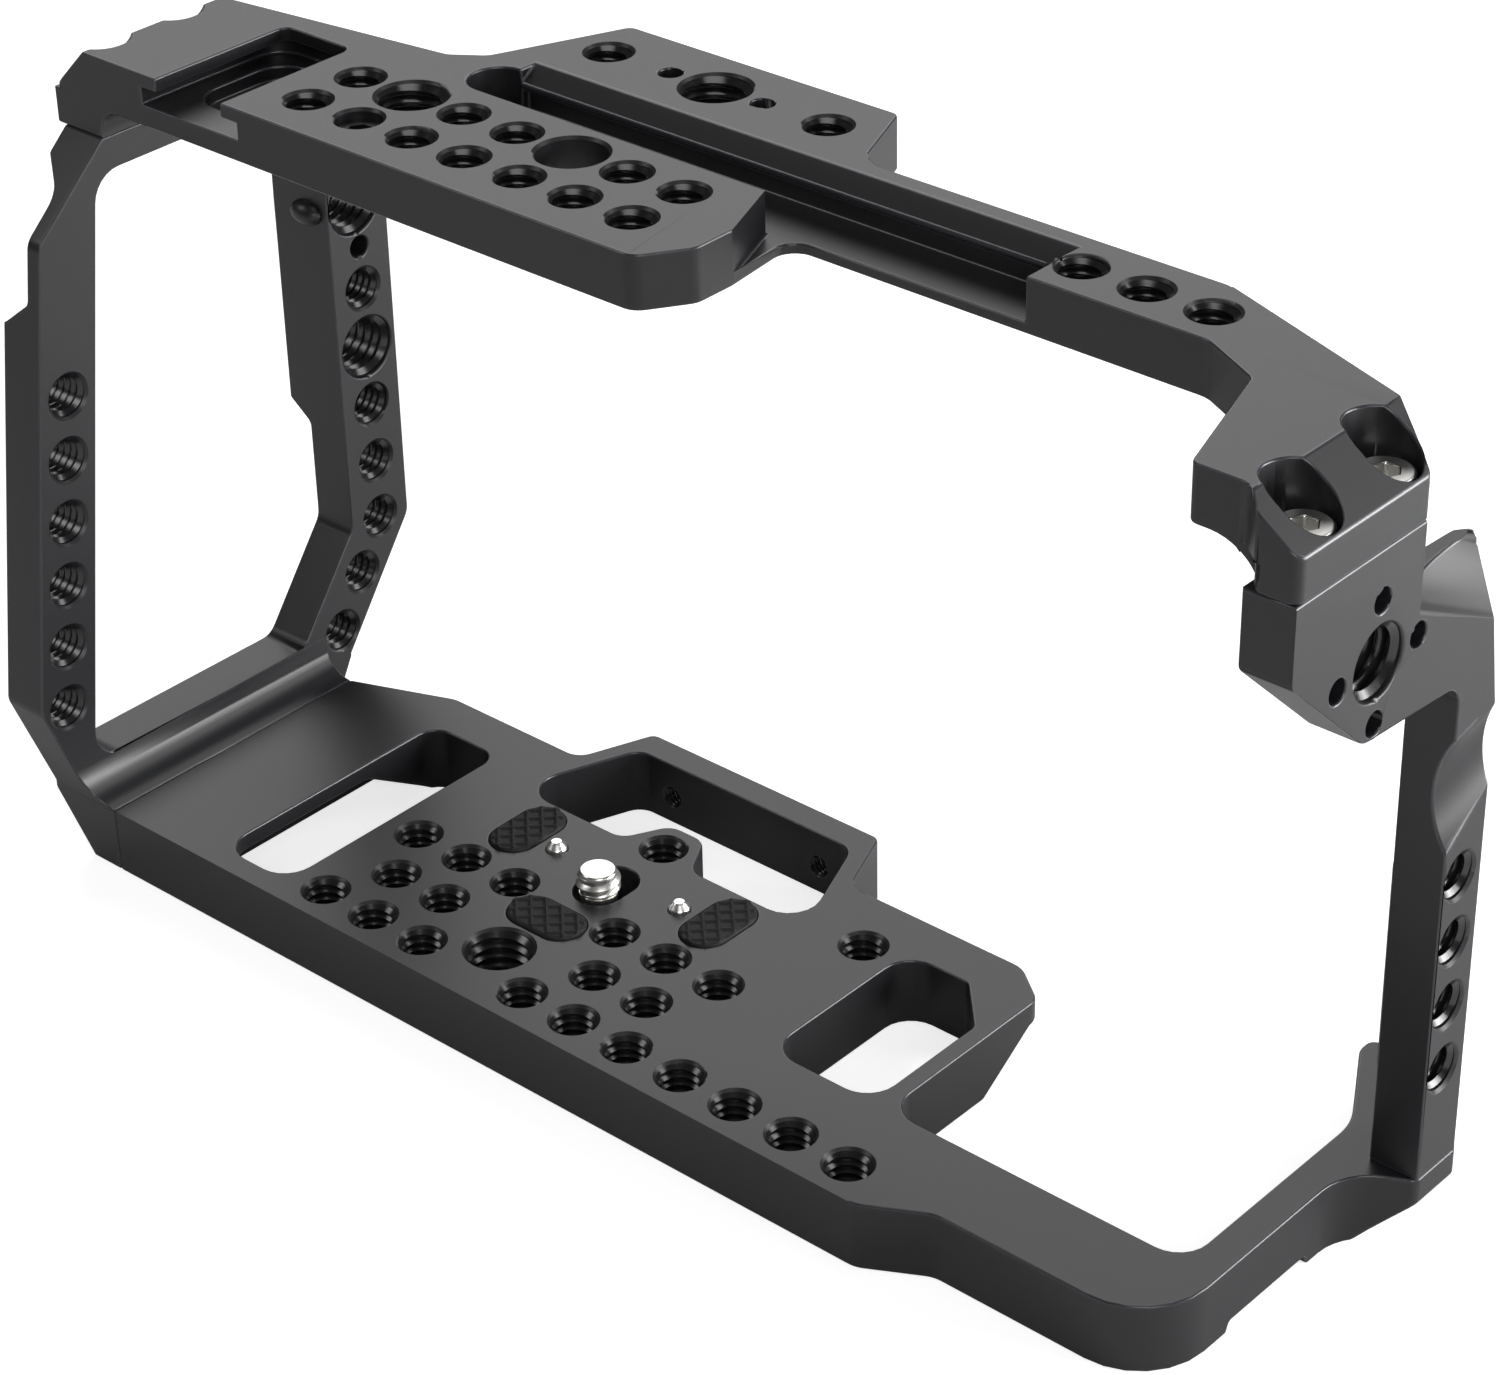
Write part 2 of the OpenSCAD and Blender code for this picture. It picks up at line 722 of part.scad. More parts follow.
module left_side_frame() {
    color("#2c2c2f")
    difference() {
        union() {
            difference() {
                slab_x(frame_outline, far_out, frame_in);
                // Outer side of the far bar below its step, and of all else
                slab_y([[far_out - over, -plate_t - over, 0],
                    [frame_out, -plate_t - over, 0],
                    [frame_out, far_step_z, fine_r],
                    [far_out, far_step_z + far_step_rise, 0],
                    [far_out - over, far_step_z + far_step_rise, 0]], far_bar_y - over, far_bar_far + over);
                translate([far_out - over, -frame_near, -plate_t - over])
                    cube([far_bar_t - frame_t + over, frame_near + far_bar_y, seam_z + plate_t + 2 * over]);
                // Thin upper part of the near bar
                slab_y([[far_out - over, near_step_z, 0],
                    [frame_out, near_step_z, fine_r],
                    [frame_in - near_bar_t, near_step_z + near_step_rise, fine_r],
                    [frame_in - near_bar_t, near_neck_z, soft_r],
                    [frame_out, seam_z - soft_r, 0],
                    [far_out - over, seam_z - soft_r, 0]],
                    -frame_near, near_line(near_shoulder_z) + near_half + over);
            }
            // Foot that carries the seam and the cove
            intersection() {
                slab_y([[frame_in - over, -plate_t, 0],
                    [seam_x, -plate_t, 0],
                    [seam_x, 0, 0],
                    [seam_x, cove_r, 0],
                    [frame_in - over, cove_r, 0]], -frame_near, foot_far_y);
                slab_x(frame_outline, frame_in - over, seam_x);
                difference() {
                    translate([frame_in - over, -frame_near, -plate_t])
                        cube([cove_r + over, frame_near + foot_far_y, plate_t + cove_r]);
                    translate([seam_x, -frame_near - over, cove_r])
                        rotate([-90, 0, 0])
                            cylinder(r = cove_r, h = frame_near + foot_far_y + 2 * over);
                }
            }
        }
        slab_x(frame_window, far_out - over, frame_in);
        // Bevel under the outer edge of the foot
        slab_y([[frame_out - over, -plate_t + frame_bevel_h * (1 + over / frame_bevel_w), 0],
            [frame_out - over, -plate_t - over, 0],
            [frame_out + frame_bevel_w * (1 + over / frame_bevel_h), -plate_t - over, 0]],
            -frame_near, far_bar_far);
        frame_threads();
        // Screws that hold the bottom plate, and taps for those of the top plate
        for (i = [0, 1])
            translate([foot_bolt_x, foot_bolt_y + i * foot_bolt_pair, foot_bolt_z])
                rotate([0, -90, 0])
                    cap_screw_cut(far_bar_t, far_bar_t);
        for (i = [0, 1])
            translate([left_bolt_x, bolt_near_y + i * left_bolt_pair, seam_z])
                tap_cut(upper_rail_h - fine_r / 2);
    }
}

module frame_threads() {
    for (i = [0:near_holes - 1])
        thread_cut_x(small_r, frame_out, frame_in,
            -near_hole_y - i * pitch * sin(near_lean), near_hole_z - i * pitch * cos(near_lean));
    far_y = far_bar_y + far_bar_w / 2;
    thread_cut_x(small_r, far_out, frame_in, far_y, far_hole_z);
    thread_cut_x(large_r, far_out, frame_in, far_y, far_hole_z - pitch);
    thread_cut_x(small_r, far_out, frame_in, far_y, far_hole_z - 2 * pitch);
    for (i = [3, 4])
        thread_cut_x(small_r, frame_out, frame_in, far_y, far_hole_z - i * pitch);
    for (i = [0, 1])
        thread_cut_x(small_r, frame_out, frame_in,
            slant_hole_y - i * pitch * sin(slant_hole_lean),
            slant_hole_z - i * pitch * cos(slant_hole_lean));
    thread_cut_x(large_r, far_out, frame_in, far_y - fine_r / 3, top_big_hole_z);
    thread_cut_x(pin_hole_r, far_out, frame_in, far_y, latch_hole_z);
}

// Outline of the top plate from above, with the field of holes, the rail and the arm
top_outline = [
    [end_out, -top_near, fine_r],
    [field_right - round_r, -top_near, soft_r],
    [field_right, -top_near + 1.5 * round_r, soft_r],
    [field_right, -fine_r, soft_r],
    [field_right - fine_r, arm_near, soft_r],
    [arm_row_x + 2.4 * pitch, arm_near, round_r],
    [head_x - 1.6 * pitch, arm_near - round_r, fine_r],
    [head_left, head_side, fine_r],
    [post_in - fine_r, head_side, soft_r],
    [post_in + fine_r, -head_near, fine_r],
    [right_reach, -head_near, fine_r],
    [right_reach, head_far, fine_r],
    [head_x, head_far + round_r, fine_r],
    [arm_row_x + 1.7 * pitch, arm_far, soft_r],
    [hoop_half + 2 * round_r, arm_far, soft_r],
    [field_right - fine_r, arm_far + fine_r, soft_r],
    [pad_right, pad_far, fine_r],
    [pad_left, pad_far, fine_r],
    [groove_left - 0.6 * round_r, pad_far / 2, soft_r],
    [groove_left - 1.6 * round_r, end_far + 1.3 * round_r, soft_r],
    [end_out, end_far, fine_r]];

module top_plate() {
    color("#2e2e31")
    difference() {
        union() {
            slab(top_outline, top_under, top_z);
            // Block over the seam with the left side frame
            translate([end_out, -top_near, seam_z])
                cube([frame_in - end_out, end_far + top_near, top_under - seam_z + over]);
            // Block over the joint with the post
            slab([[post_in, head_side, 0],
                [post_in + fine_r, -head_near, fine_r],
                [right_reach, -head_near, fine_r],
                [right_reach, head_far, fine_r],
                [post_in, head_far + round_r, 0]], joint_z, top_under + over);
            // Concave fillets under the plate beside the two blocks
            under_fillet(post_in, -fillet_l, top_under - joint_z, head_side, head_far + round_r);
            under_fillet(frame_in, left_fillet, left_fillet, -top_near, end_far);
        }
        end_bevels();
        head_cuts();
        shoe_cut();
        groove_cut();
        top_threads();
    }
}

// Concave fillet under the plate, from a block's face at x out to x + reach, of the given drop
module under_fillet(x, reach, drop, near, far) {
    r = (reach * reach + drop * drop) / (2 * drop);
    difference() {
        translate([min(x, x + reach), near, top_under - drop])
            cube([abs(reach), far - near, drop + over]);
        translate([x + reach, near - over, top_under - r])
            rotate([-90, 0, 0])
                cylinder(r = r, h = far - near + 2 * over);
    }
}

// Sloping bevels at the two ends, with the pockets of the joining screws
module end_bevels() {
    bevel_slope = bevel_drop / (right_reach - head_x);
    slab_y([[head_x, top_z, 0],
        [right_reach + over, top_z - bevel_slope * (right_reach + over - head_x), 0],
        [right_reach + over, top_z + over, 0],
        [head_x, top_z + over, 0]], -head_near - over, arm_far);
    slab_y([[end_out + left_bevel, top_z, 0],
        [end_out + left_bevel, top_z + over, 0],
        [end_out - over, top_z + over, 0],
        [end_out - over, top_z - left_bevel - over, 0]], -top_near - over, arm_far);
}

module head_cuts() {
    for (i = [0, 1]) {
        translate([head_bolt_x, bolt_near_y + i * bolt_pair, head_seat])
            cap_screw_cut(head_seat - joint_z, pocket_h);
        translate([head_bolt_x - pocket_reach, bolt_near_y + i * bolt_pair, head_seat])
            cylinder(r = pocket_r, h = pocket_h);
        translate([left_bolt_x, bolt_near_y + i * left_bolt_pair, seam_seat])
            cap_screw_cut(seam_seat - seam_z, pocket_h);
    }
}

// Shoe: a wide lower slot under two lips, open on the near side
module shoe_cut() {
    shoe_floor = top_z - shoe_lip - shoe_gap;
    slab([[shoe_x - shoe_mouth / 2, -top_near - over, 0],
        [shoe_x + shoe_mouth / 2, -top_near - over, 0],
        [shoe_x + shoe_mouth / 2, shoe_far, fine_r],
        [shoe_x - shoe_mouth / 2, shoe_far, fine_r]], shoe_floor, top_z + over);
    slab([[shoe_x - shoe_slot / 2, -top_near - over, 0],
        [shoe_x + shoe_slot / 2, -top_near - over, 0],
        [shoe_x + shoe_slot / 2, shoe_far + fine_r, round_r],
        [shoe_x - shoe_slot / 2, shoe_far + fine_r, round_r]], shoe_floor, shoe_floor + shoe_gap);
    slab([[shoe_x - shoe_pocket_w / 2, -shoe_far, round_r],
        [shoe_x + shoe_pocket_w / 2, -shoe_far, round_r],
        [shoe_x + shoe_pocket_w / 2, shoe_far - fine_r, round_r],
        [shoe_x - shoe_pocket_w / 2, shoe_far - fine_r, round_r]],
        shoe_floor - shoe_pocket, shoe_floor + over);
}

// Groove beside the rail, with the bevel and undercut of the rail's nose
module groove_cut() {
    groove_r = (nose_y - groove_near) / 2;
    // Open channel with its rounded left end
    slab([[groove_left, groove_near, groove_r],
        [rail_end, groove_near, 0],
        [rail_end, nose_y, soft_r],
        [groove_left, nose_y, groove_r]], groove_floor, top_z + over);
    slab([[field_right - round_r, arm_near - 2 * over - round_r, 0],
        [rail_end, arm_near - 2 * over - round_r, 0],
        [rail_end, nose_y, soft_r],
        [field_right - round_r, nose_y, 0]], groove_floor, top_z + over);
    slab_x([[nose_y - over, groove_floor, 0],
        [groove_wall, groove_floor, 0],
        [groove_wall, nose_z - fine_r, 0],
        [nose_y, nose_z - fine_r / 2, 0],
        [nose_y - over, nose_z - fine_r / 2, 0]], groove_left + groove_r, rail_end - soft_r);
    slab_x([[nose_y - over, nose_z, 0],
        [nose_y, nose_z, 0],
        [nose_y + rail_bevel, top_z, 0],
        [nose_y + rail_bevel, top_z + over, 0],
        [nose_y - over, top_z + over, 0]], groove_left + groove_r, rail_end);
}

module top_threads() {
    row_cut(field_near_shares, field_x, row_a_y, top_under, top_z);
    row_cut(field_far_shares, field_x, row_b_y, top_under, top_z);
    translate([field_x + pitch, row_b_y, 0])
        thread_cut(large_r, top_under, top_z);
    // Plain passage without a thread
    translate([field_x + 4 * pitch, row_b_y, 0])
        thread_cut(large_r, top_under, top_z);
    row_cut(pad_shares, pad_middle, pad_row_y, top_under, top_z);
    translate([pad_middle, pad_row_y, 0])
        thread_cut(large_r, top_under, top_z);
    for (s = [-1, 1])
        translate([pad_middle + s * pin_hole_reach, pad_row_y, top_z - pin_hole_h])
            cylinder(r = pin_hole_r, h = pin_hole_h + over);
    row_cut(arm_shares, arm_row_x, arm_row_y, top_under, top_z);
}

// Outline of the right side post with its head, as y and z
post_outline = [
    [post_y, 0, 0],
    [post_far, 0, 0],
    [post_far, ear_z, fine_r],
    [head_far, ear_z, 0],
    [head_far, joint_z, 0],
    [-head_near, joint_z, 0],
    [-head_near, boss_z + round_r, fine_r],
    [-fine_r, boss_under, soft_r],
    [post_y, boss_under - fine_r, soft_r]];

module right_side_post() {
    color("#2c2c2f")
    difference() {
        slab_x(post_outline, post_in, right_reach);
        // Concave scoop that leaves the ear as a thin curved wall
        intersection() {
            translate([right_reach + scoop_out, post_y, scoop_z])
                rotate([-90 - scoop_tilt, 0, 0])
                    cylinder(r = scoop_r, h = 4 * scoop_r, center = true);
            translate([post_in - over, head_far, boss_under])
                cube([post_t + 2 * over, post_far, joint_z]);
        }
        // Shallow waist across the right face
        translate([right_reach + waist_r - waist_depth, post_y, waist_z])
            rotate([waist_tilt - 90, 0, -waist_turn])
                cylinder(r = waist_r, h = 4 * post_w, center = true);
        for (i = [0:post_holes - 1])
            thread_cut_x(small_r, post_in, right_reach, post_hole_y, post_hole_z - i * pitch);
        thread_cut_x(large_r, post_in, right_reach, boss_y, boss_z);
        for (a = [0:90:270])
            translate([right_reach - pin_hole_h, boss_y, boss_z])
                rotate([a, 0, 0])
                    translate([0, pin_hole_reach, 0])
                        rotate([0, 90, 0])
                            cylinder(r = pin_hole_r, h = pin_hole_h + over);
        for (i = [0, 1])
            translate([head_bolt_x, bolt_near_y + i * bolt_pair, joint_z])
                tap_cut(head_tap);
        translate([post_bolt_x, post_bolt_y, foot_tap])
            tap_cut(foot_tap + over);
        translate([post_bolt_x, dowel_y, -over])
            cylinder(d = dowel_d, h = dowel_half + over);
    }
}

module top_left_screw(i) {
    color("#c9c9cc")
    translate([left_bolt_x, bolt_near_y + i * left_bolt_pair, seam_seat])
        cap_screw(seam_seat - seam_z + upper_rail_h - fine_r / 2);
}

module head_screw(i) {
    color("#c9c9cc")
    translate([head_bolt_x, bolt_near_y + i * bolt_pair, head_seat])
        cap_screw(head_seat - joint_z + head_tap);
}

module left_foot_screw(i) {
    color("#3a3a3d")
    translate([foot_bolt_x, foot_bolt_y + i * foot_bolt_pair, foot_bolt_z])
        rotate([0, -90, 0])
            cap_screw(foot_bolt_web + tap_depth);
}

module post_foot_screw() {
    color("#3a3a3d")
    translate([post_bolt_x, post_bolt_y, foot_seat])
        mirror([0, 0, 1])
            flat_screw(foot_tap - foot_seat);
}

module post_foot_dowel() {
    color("#c9c9cc")
    translate([post_bolt_x, dowel_y, -dowel_half])
        cylinder(d = dowel_d, h = 2 * dowel_half);
}

// Headless screw parked in the field of holes
module hole_field_grub_screw() {
    color("#3a3a3d")
    translate([field_x + pitch, row_a_y, top_under])
        difference() {
            cylinder(r = small_r, h = grub_l);
            translate([0, 0, grub_l / 2])
                cylinder(r = bolt_key / 2 / cos(30), h = grub_l, $fn = 6);
        }
}

top_plate();
left_side_frame();
bottom_plate();
right_side_post();
camera_screw();
camera_screw_washer();
locating_pin(-1);  // locating_pin_left
locating_pin(1);  // locating_pin_right
rubber_pad(-1);  // rubber_pad_left
rubber_pad(1);  // rubber_pad_right
rubber_pad(0);  // rubber_pad_near
top_left_screw(0);  // top_left_screw_near
top_left_screw(1);  // top_left_screw_far
head_screw(0);  // head_screw_near
head_screw(1);  // head_screw_far
left_foot_screw(0);  // left_foot_screw_near
left_foot_screw(1);  // left_foot_screw_far
post_foot_screw();
post_foot_dowel();
hole_field_grub_screw();
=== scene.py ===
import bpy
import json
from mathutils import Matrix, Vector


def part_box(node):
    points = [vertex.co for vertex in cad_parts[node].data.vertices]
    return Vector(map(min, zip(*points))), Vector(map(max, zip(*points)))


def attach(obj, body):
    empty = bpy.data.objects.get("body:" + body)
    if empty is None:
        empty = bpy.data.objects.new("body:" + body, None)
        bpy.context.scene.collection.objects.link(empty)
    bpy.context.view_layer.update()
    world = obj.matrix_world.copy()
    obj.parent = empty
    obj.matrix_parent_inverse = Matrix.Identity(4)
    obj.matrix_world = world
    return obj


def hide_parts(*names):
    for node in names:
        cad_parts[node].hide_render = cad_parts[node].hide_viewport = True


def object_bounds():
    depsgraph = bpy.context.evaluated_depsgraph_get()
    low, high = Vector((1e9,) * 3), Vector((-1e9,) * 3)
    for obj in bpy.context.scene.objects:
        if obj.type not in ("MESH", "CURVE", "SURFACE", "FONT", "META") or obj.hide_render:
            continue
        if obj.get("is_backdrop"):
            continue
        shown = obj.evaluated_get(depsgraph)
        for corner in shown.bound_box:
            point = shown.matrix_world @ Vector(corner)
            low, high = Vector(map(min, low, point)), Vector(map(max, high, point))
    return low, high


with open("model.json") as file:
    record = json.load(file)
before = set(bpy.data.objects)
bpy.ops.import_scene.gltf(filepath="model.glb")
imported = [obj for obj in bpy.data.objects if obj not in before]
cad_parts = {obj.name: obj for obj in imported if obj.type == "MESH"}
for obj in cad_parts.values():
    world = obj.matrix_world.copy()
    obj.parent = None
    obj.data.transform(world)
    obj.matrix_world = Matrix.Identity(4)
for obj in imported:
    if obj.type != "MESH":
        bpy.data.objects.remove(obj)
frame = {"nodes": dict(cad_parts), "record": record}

"""Dresses a packed camera cage: milled black plates, threads, pads, pins and screws, in metres."""

import json
import logging
import math
from dataclasses import dataclass, field
from enum import Enum

import bmesh
import bpy
from mathutils import Matrix, Vector
from mathutils.bvhtree import BVHTree
from mathutils.kdtree import KDTree

log = logging.getLogger("camera_cage")
MM = 0.001
IN = 25.4 * MM
# Faces of rounded edges carry this mark; the finishes brighten them as a painted highlight.
EDGE_MARK = "rounded_edge"
WELD_REACH = 0.002 * MM
PLANE_DEG = 0.4
SLACK = 0.1 * MM
HOLE_PITCH = 9.525 * MM
SMOOTH_DEG = 40.0


class Axis(Enum):
    """Row axes that holes run along."""

    X = 0
    Y = 1
    Z = 2

    def turn(self) -> Matrix:
        """Returns the rotation that takes +Z to this axis."""
        return {Axis.X: Matrix.Rotation(math.pi / 2, 4, "Y"),
                Axis.Y: Matrix.Rotation(-math.pi / 2, 4, "X"),
                Axis.Z: Matrix.Identity(4)}[self]


class ThreadSize(Enum):
    """Thread sizes of the cage, as outer radius and pitch."""

    QUARTER = (IN / 8, IN / 20)
    THREE_EIGHTHS = (IN * 3 / 16, IN / 16)
    SMALL = (1.6 * MM, 0.6 * MM)

    @property
    def radius(self) -> float:
        """Outer radius of the thread."""
        return self.value[0]

    @property
    def pitch(self) -> float:
        """Rise of the thread in one turn."""
        return self.value[1]


# ---------------------------------------------------------------- node trees


class Tree:
    """Short hand for building one node tree."""

    def __init__(self, tree: bpy.types.NodeTree) -> None:
        """Keeps the tree that the methods add to."""
        self.tree = tree

    def add(self, kind: str, inputs: dict[str | int, object] | None = None,
            **settings: object) -> bpy.types.Node:
        """Adds a node, sets its properties and feeds its inputs.

        Args:
            kind: The node's type name.
            inputs: Sockets or values for its inputs, by their name or number.
            settings: Properties of the node.

        Returns:
            The new node.
        """
        node = self.tree.nodes.new(kind)
        for key, value in settings.items():
            setattr(node, key, value)
        for key, value in (inputs or {}).items():
            if isinstance(value, bpy.types.NodeSocket):
                self.tree.links.new(value, node.inputs[key])
            else:
                node.inputs[key].default_value = value
        return node

    def maths(self, operation: str, *values: object) -> bpy.types.NodeSocket:
        """Adds a math node.

        Args:
            operation: The node's operation.
            values: Sockets or numbers for its inputs.

        Returns:
            Its output socket.
        """
        return self.add("ShaderNodeMath", dict(enumerate(values)), operation=operation).outputs[0]


def cleared(owner: bpy.types.Material | bpy.types.World) -> Tree:
    """Gives a material or the world an empty node tree.

    Args:
        owner: The material or the world.

    Returns:
        Its empty tree.
    """
    owner.use_nodes = True
    owner.node_tree.nodes.clear()
    return Tree(owner.node_tree)


class CopyTree(Tree):
    """Geometry tree that sets one bent grid on every point of a mesh and gives it a finish."""

    def __init__(self, name: str, lengths: tuple[str, ...]) -> None:
        """Starts the tree with its named inputs.

        Args:
            name: Name of the tree.
            lengths: Names of its inputs that are plain numbers.
        """
        group = bpy.data.node_groups.new(name, "GeometryNodeTree")
        face = group.interface
        face.new_socket("Geometry", in_out="INPUT", socket_type="NodeSocketGeometry")
        for label in lengths:
            face.new_socket(label, in_out="INPUT", socket_type="NodeSocketFloat")
        face.new_socket("Turn", in_out="INPUT", socket_type="NodeSocketVector")
        face.new_socket("Finish", in_out="INPUT", socket_type="NodeSocketMaterial")
        face.new_socket("Geometry", in_out="OUTPUT", socket_type="NodeSocketGeometry")
        super().__init__(group)
        self.given = self.add("NodeGroupInput").outputs

    def position(self) -> bpy.types.bpy_prop_collection:
        """Adds the nodes that split the position, and returns their outputs X, Y and Z."""
        spot = self.add("GeometryNodeInputPosition").outputs[0]
        return self.add("ShaderNodeSeparateXYZ", {0: spot}).outputs

    def bent(self, grid: bpy.types.Node, *place: bpy.types.NodeSocket) -> bpy.types.NodeSocket:
        """Moves a grid's points.

        Args:
            grid: The grid's node.
            place: New x, y and z of each point.

        Returns:
            The bent grid.
        """
        spot = self.add("ShaderNodeCombineXYZ", dict(enumerate(place)))
        return self.add("GeometryNodeSetPosition", {
            "Geometry": grid.outputs["Mesh"], "Position": spot.outputs[0]}).outputs["Geometry"]

    def close(self, shape: bpy.types.NodeSocket, flipped: bpy.types.NodeSocket | None = None) -> None:
        """Sets the shape on every point, makes the copies real and gives them the finish.

        Args:
            shape: The shape to copy.
            flipped: Whether its faces are turned over, or none where they never are.
        """
        turned = self.add("FunctionNodeEulerToRotation", {0: self.given["Turn"]})
        copies = self.add("GeometryNodeInstanceOnPoints", {
            "Points": self.given["Geometry"], "Instance": shape, "Rotation": turned.outputs[0]})
        real = self.add("GeometryNodeRealizeInstances", {"Geometry": copies.outputs["Instances"]})
        result = real.outputs["Geometry"]
        if flipped is not None:
            flip = self.add("GeometryNodeFlipFaces", {"Mesh": result, "Selection": flipped})
            result = flip.outputs["Mesh"]
        dressed = self.add("GeometryNodeSetMaterial", {
            "Geometry": result, "Material": self.given["Finish"]})
        self.add("NodeGroupOutput", {0: dressed.outputs["Geometry"]})


# ---------------------------------------------------------------- finishes


@dataclass(frozen=True)
class Finish:
    """A surface finish with fine procedural variation, and a painted highlight on its rounded edges.

    Attributes:
        name: Name of the material.
        colour: Base colour, linear.
        roughness: Middle of the roughness range.
        metallic: Metallic share.
        specular: Specular level.
        grain: Scale of the fine grain.
        grain_bump: Strength of the grain's relief.
        grain_detail: Octaves of the grain.
        grain_reach: Height of the grain's relief.
        cloud: Scale of the slow change of tone.
        cloud_detail: Octaves of that change.
        cloud_share: How far the tone strays from one.
        rough_spread: How far the roughness strays from its middle.
        edge_polish: How much smoother rounded edges are.
        painted_edge_highlight: How much brighter rounded edges are made, as a painted highlight.
    """

    name: str
    colour: tuple[float, float, float]
    roughness: float
    metallic: float = 0.0
    specular: float = 0.5
    grain: float = 5200.0
    grain_bump: float = 0.06
    grain_detail: float = 2.0
    grain_reach: float = 0.0001
    cloud: float = 60.0
    cloud_detail: float = 4.0
    cloud_share: float = 0.12
    rough_spread: float = 0.05
    edge_polish: float = 0.16
    painted_edge_highlight: float = 2.5

    def material(self) -> bpy.types.Material:
        """Builds the material, or returns it if it is already built.

        Returns:
            The material of this finish.
        """
        found = bpy.data.materials.get(self.name)
        if found:
            return found
        material = bpy.data.materials.new(self.name)
        t = cleared(material)
        place = t.add("ShaderNodeTexCoord").outputs["Object"]
        cloud = t.add("ShaderNodeTexNoise", {
            "Vector": place, "Scale": self.cloud, "Detail": self.cloud_detail})
        tone = t.add("ShaderNodeMapRange", {
            "Value": cloud.outputs["Fac"], "To Min": 1.0 - self.cloud_share,
            "To Max": 1.0 + self.cloud_share})
        # Rounded edges carry the attribute; they are made a little smoother, and their colour is brightened
        # as a painted highlight
        edge_highlight_and_polish = t.add("ShaderNodeAttribute", attribute_name=EDGE_MARK).outputs["Fac"]
        highlight_gain = t.maths("MULTIPLY_ADD", edge_highlight_and_polish, self.painted_edge_highlight, 1.0)
        tint = t.add("ShaderNodeVectorMath", {
            0: self.colour, "Scale": t.maths("MULTIPLY", tone.outputs["Result"], highlight_gain)}, operation="SCALE")
        grain = t.add("ShaderNodeTexNoise", {
            "Vector": place, "Scale": self.grain, "Detail": self.grain_detail})
        rough = t.add("ShaderNodeMapRange", {
            "Value": grain.outputs["Fac"], "To Min": self.roughness - self.rough_spread,
            "To Max": self.roughness + self.rough_spread})
        polish = t.maths("MULTIPLY", edge_highlight_and_polish, self.edge_polish)
        bump = t.add("ShaderNodeBump", {
            "Height": grain.outputs["Fac"], "Strength": self.grain_bump, "Distance": self.grain_reach})
        shader = t.add("ShaderNodeBsdfPrincipled", {
            "Base Color": tint.outputs["Vector"], "Normal": bump.outputs["Normal"],
            "Roughness": t.maths("SUBTRACT", rough.outputs["Result"], polish),
            "Metallic": self.metallic, "Specular IOR Level": self.specular})
        t.add("ShaderNodeOutputMaterial", {"Surface": shader.outputs["BSDF"]})
        return material


ANODISED = Finish("black_anodised", (0.0125, 0.0125, 0.0145), 0.37, specular=0.65)
# The threads' colour is darker than the anodised plates': painted shade down in the holes.
THREAD = Finish("cut_thread", (0.007, 0.007, 0.008), 0.2, specular=0.9, grain_bump=0.02)
NICKEL = Finish("bright_nickel", (0.88, 0.87, 0.84), 0.34, metallic=1.0, grain_bump=0.02, painted_edge_highlight=0.0)
BLACK_STEEL = Finish("black_steel", (0.03, 0.03, 0.031), 0.3, metallic=0.6)
RUBBER = Finish("black_rubber", (0.014, 0.014, 0.015), 0.62, specular=0.35, grain=3000.0, grain_bump=0.2)
NYLON = Finish("natural_nylon", (0.72, 0.70, 0.64), 0.45)


# ---------------------------------------------------------------- meshes


def placed(name: str, data: bpy.types.ID) -> bpy.types.Object:
    """Makes an object and links it into the scene.

    Args:
        name: Name of the object.
        data: Its mesh, lamp or camera.

    Returns:
        The object.
    """
    thing = bpy.data.objects.new(name, data)
    bpy.context.scene.collection.objects.link(thing)
    return thing


def smoothed(mesh: bpy.types.Mesh, smooth_deg: float) -> None:
    """Shades a mesh smooth up to an angle between its faces."""
    mesh.polygons.foreach_set("use_smooth", [True] * len(mesh.polygons))
    mesh.set_sharp_from_angle(angle=math.radians(smooth_deg))


def settle(name: str, mesh: bpy.types.Mesh, finish: Finish, body: str,
           nodes: tuple[str, ...] = (), smooth_deg: float | None = 32.0) -> bpy.types.Object:
    """Makes a finished piece of a mesh.

    Args:
        name: Name of the piece.
        mesh: Its mesh, in the frame's metres.
        finish: Its finish.
        body: The body that it rides on.
        nodes: The solids that it stands for.
        smooth_deg: Largest angle that is shaded smooth, or none where the mesh has its own normals.

    Returns:
        The piece.
    """
    mesh.name = name
    mesh.materials.clear()
    mesh.materials.append(finish.material())
    mesh.polygons.foreach_set("material_index", [0] * len(mesh.polygons))
    if smooth_deg is not None:
        smoothed(mesh, smooth_deg)
    piece = placed(name, mesh)
    if nodes:
        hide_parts(*nodes)
    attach(piece, body)
    log.info("%s: %d faces", name, len(mesh.polygons))
    return piece


def baked(holder: bpy.types.Object) -> bpy.types.Mesh:
    """Turns a holder's evaluated modifiers into a plain mesh and removes the holder.

    Args:
        holder: Object with live modifiers.

    Returns:
        The plain mesh.
    """
    bpy.context.view_layer.update()
    graph = bpy.context.evaluated_depsgraph_get()
    mesh = bpy.data.meshes.new_from_object(holder.evaluated_get(graph))
    old = holder.data
    bpy.data.objects.remove(holder)
    bpy.data.meshes.remove(old)
    return mesh


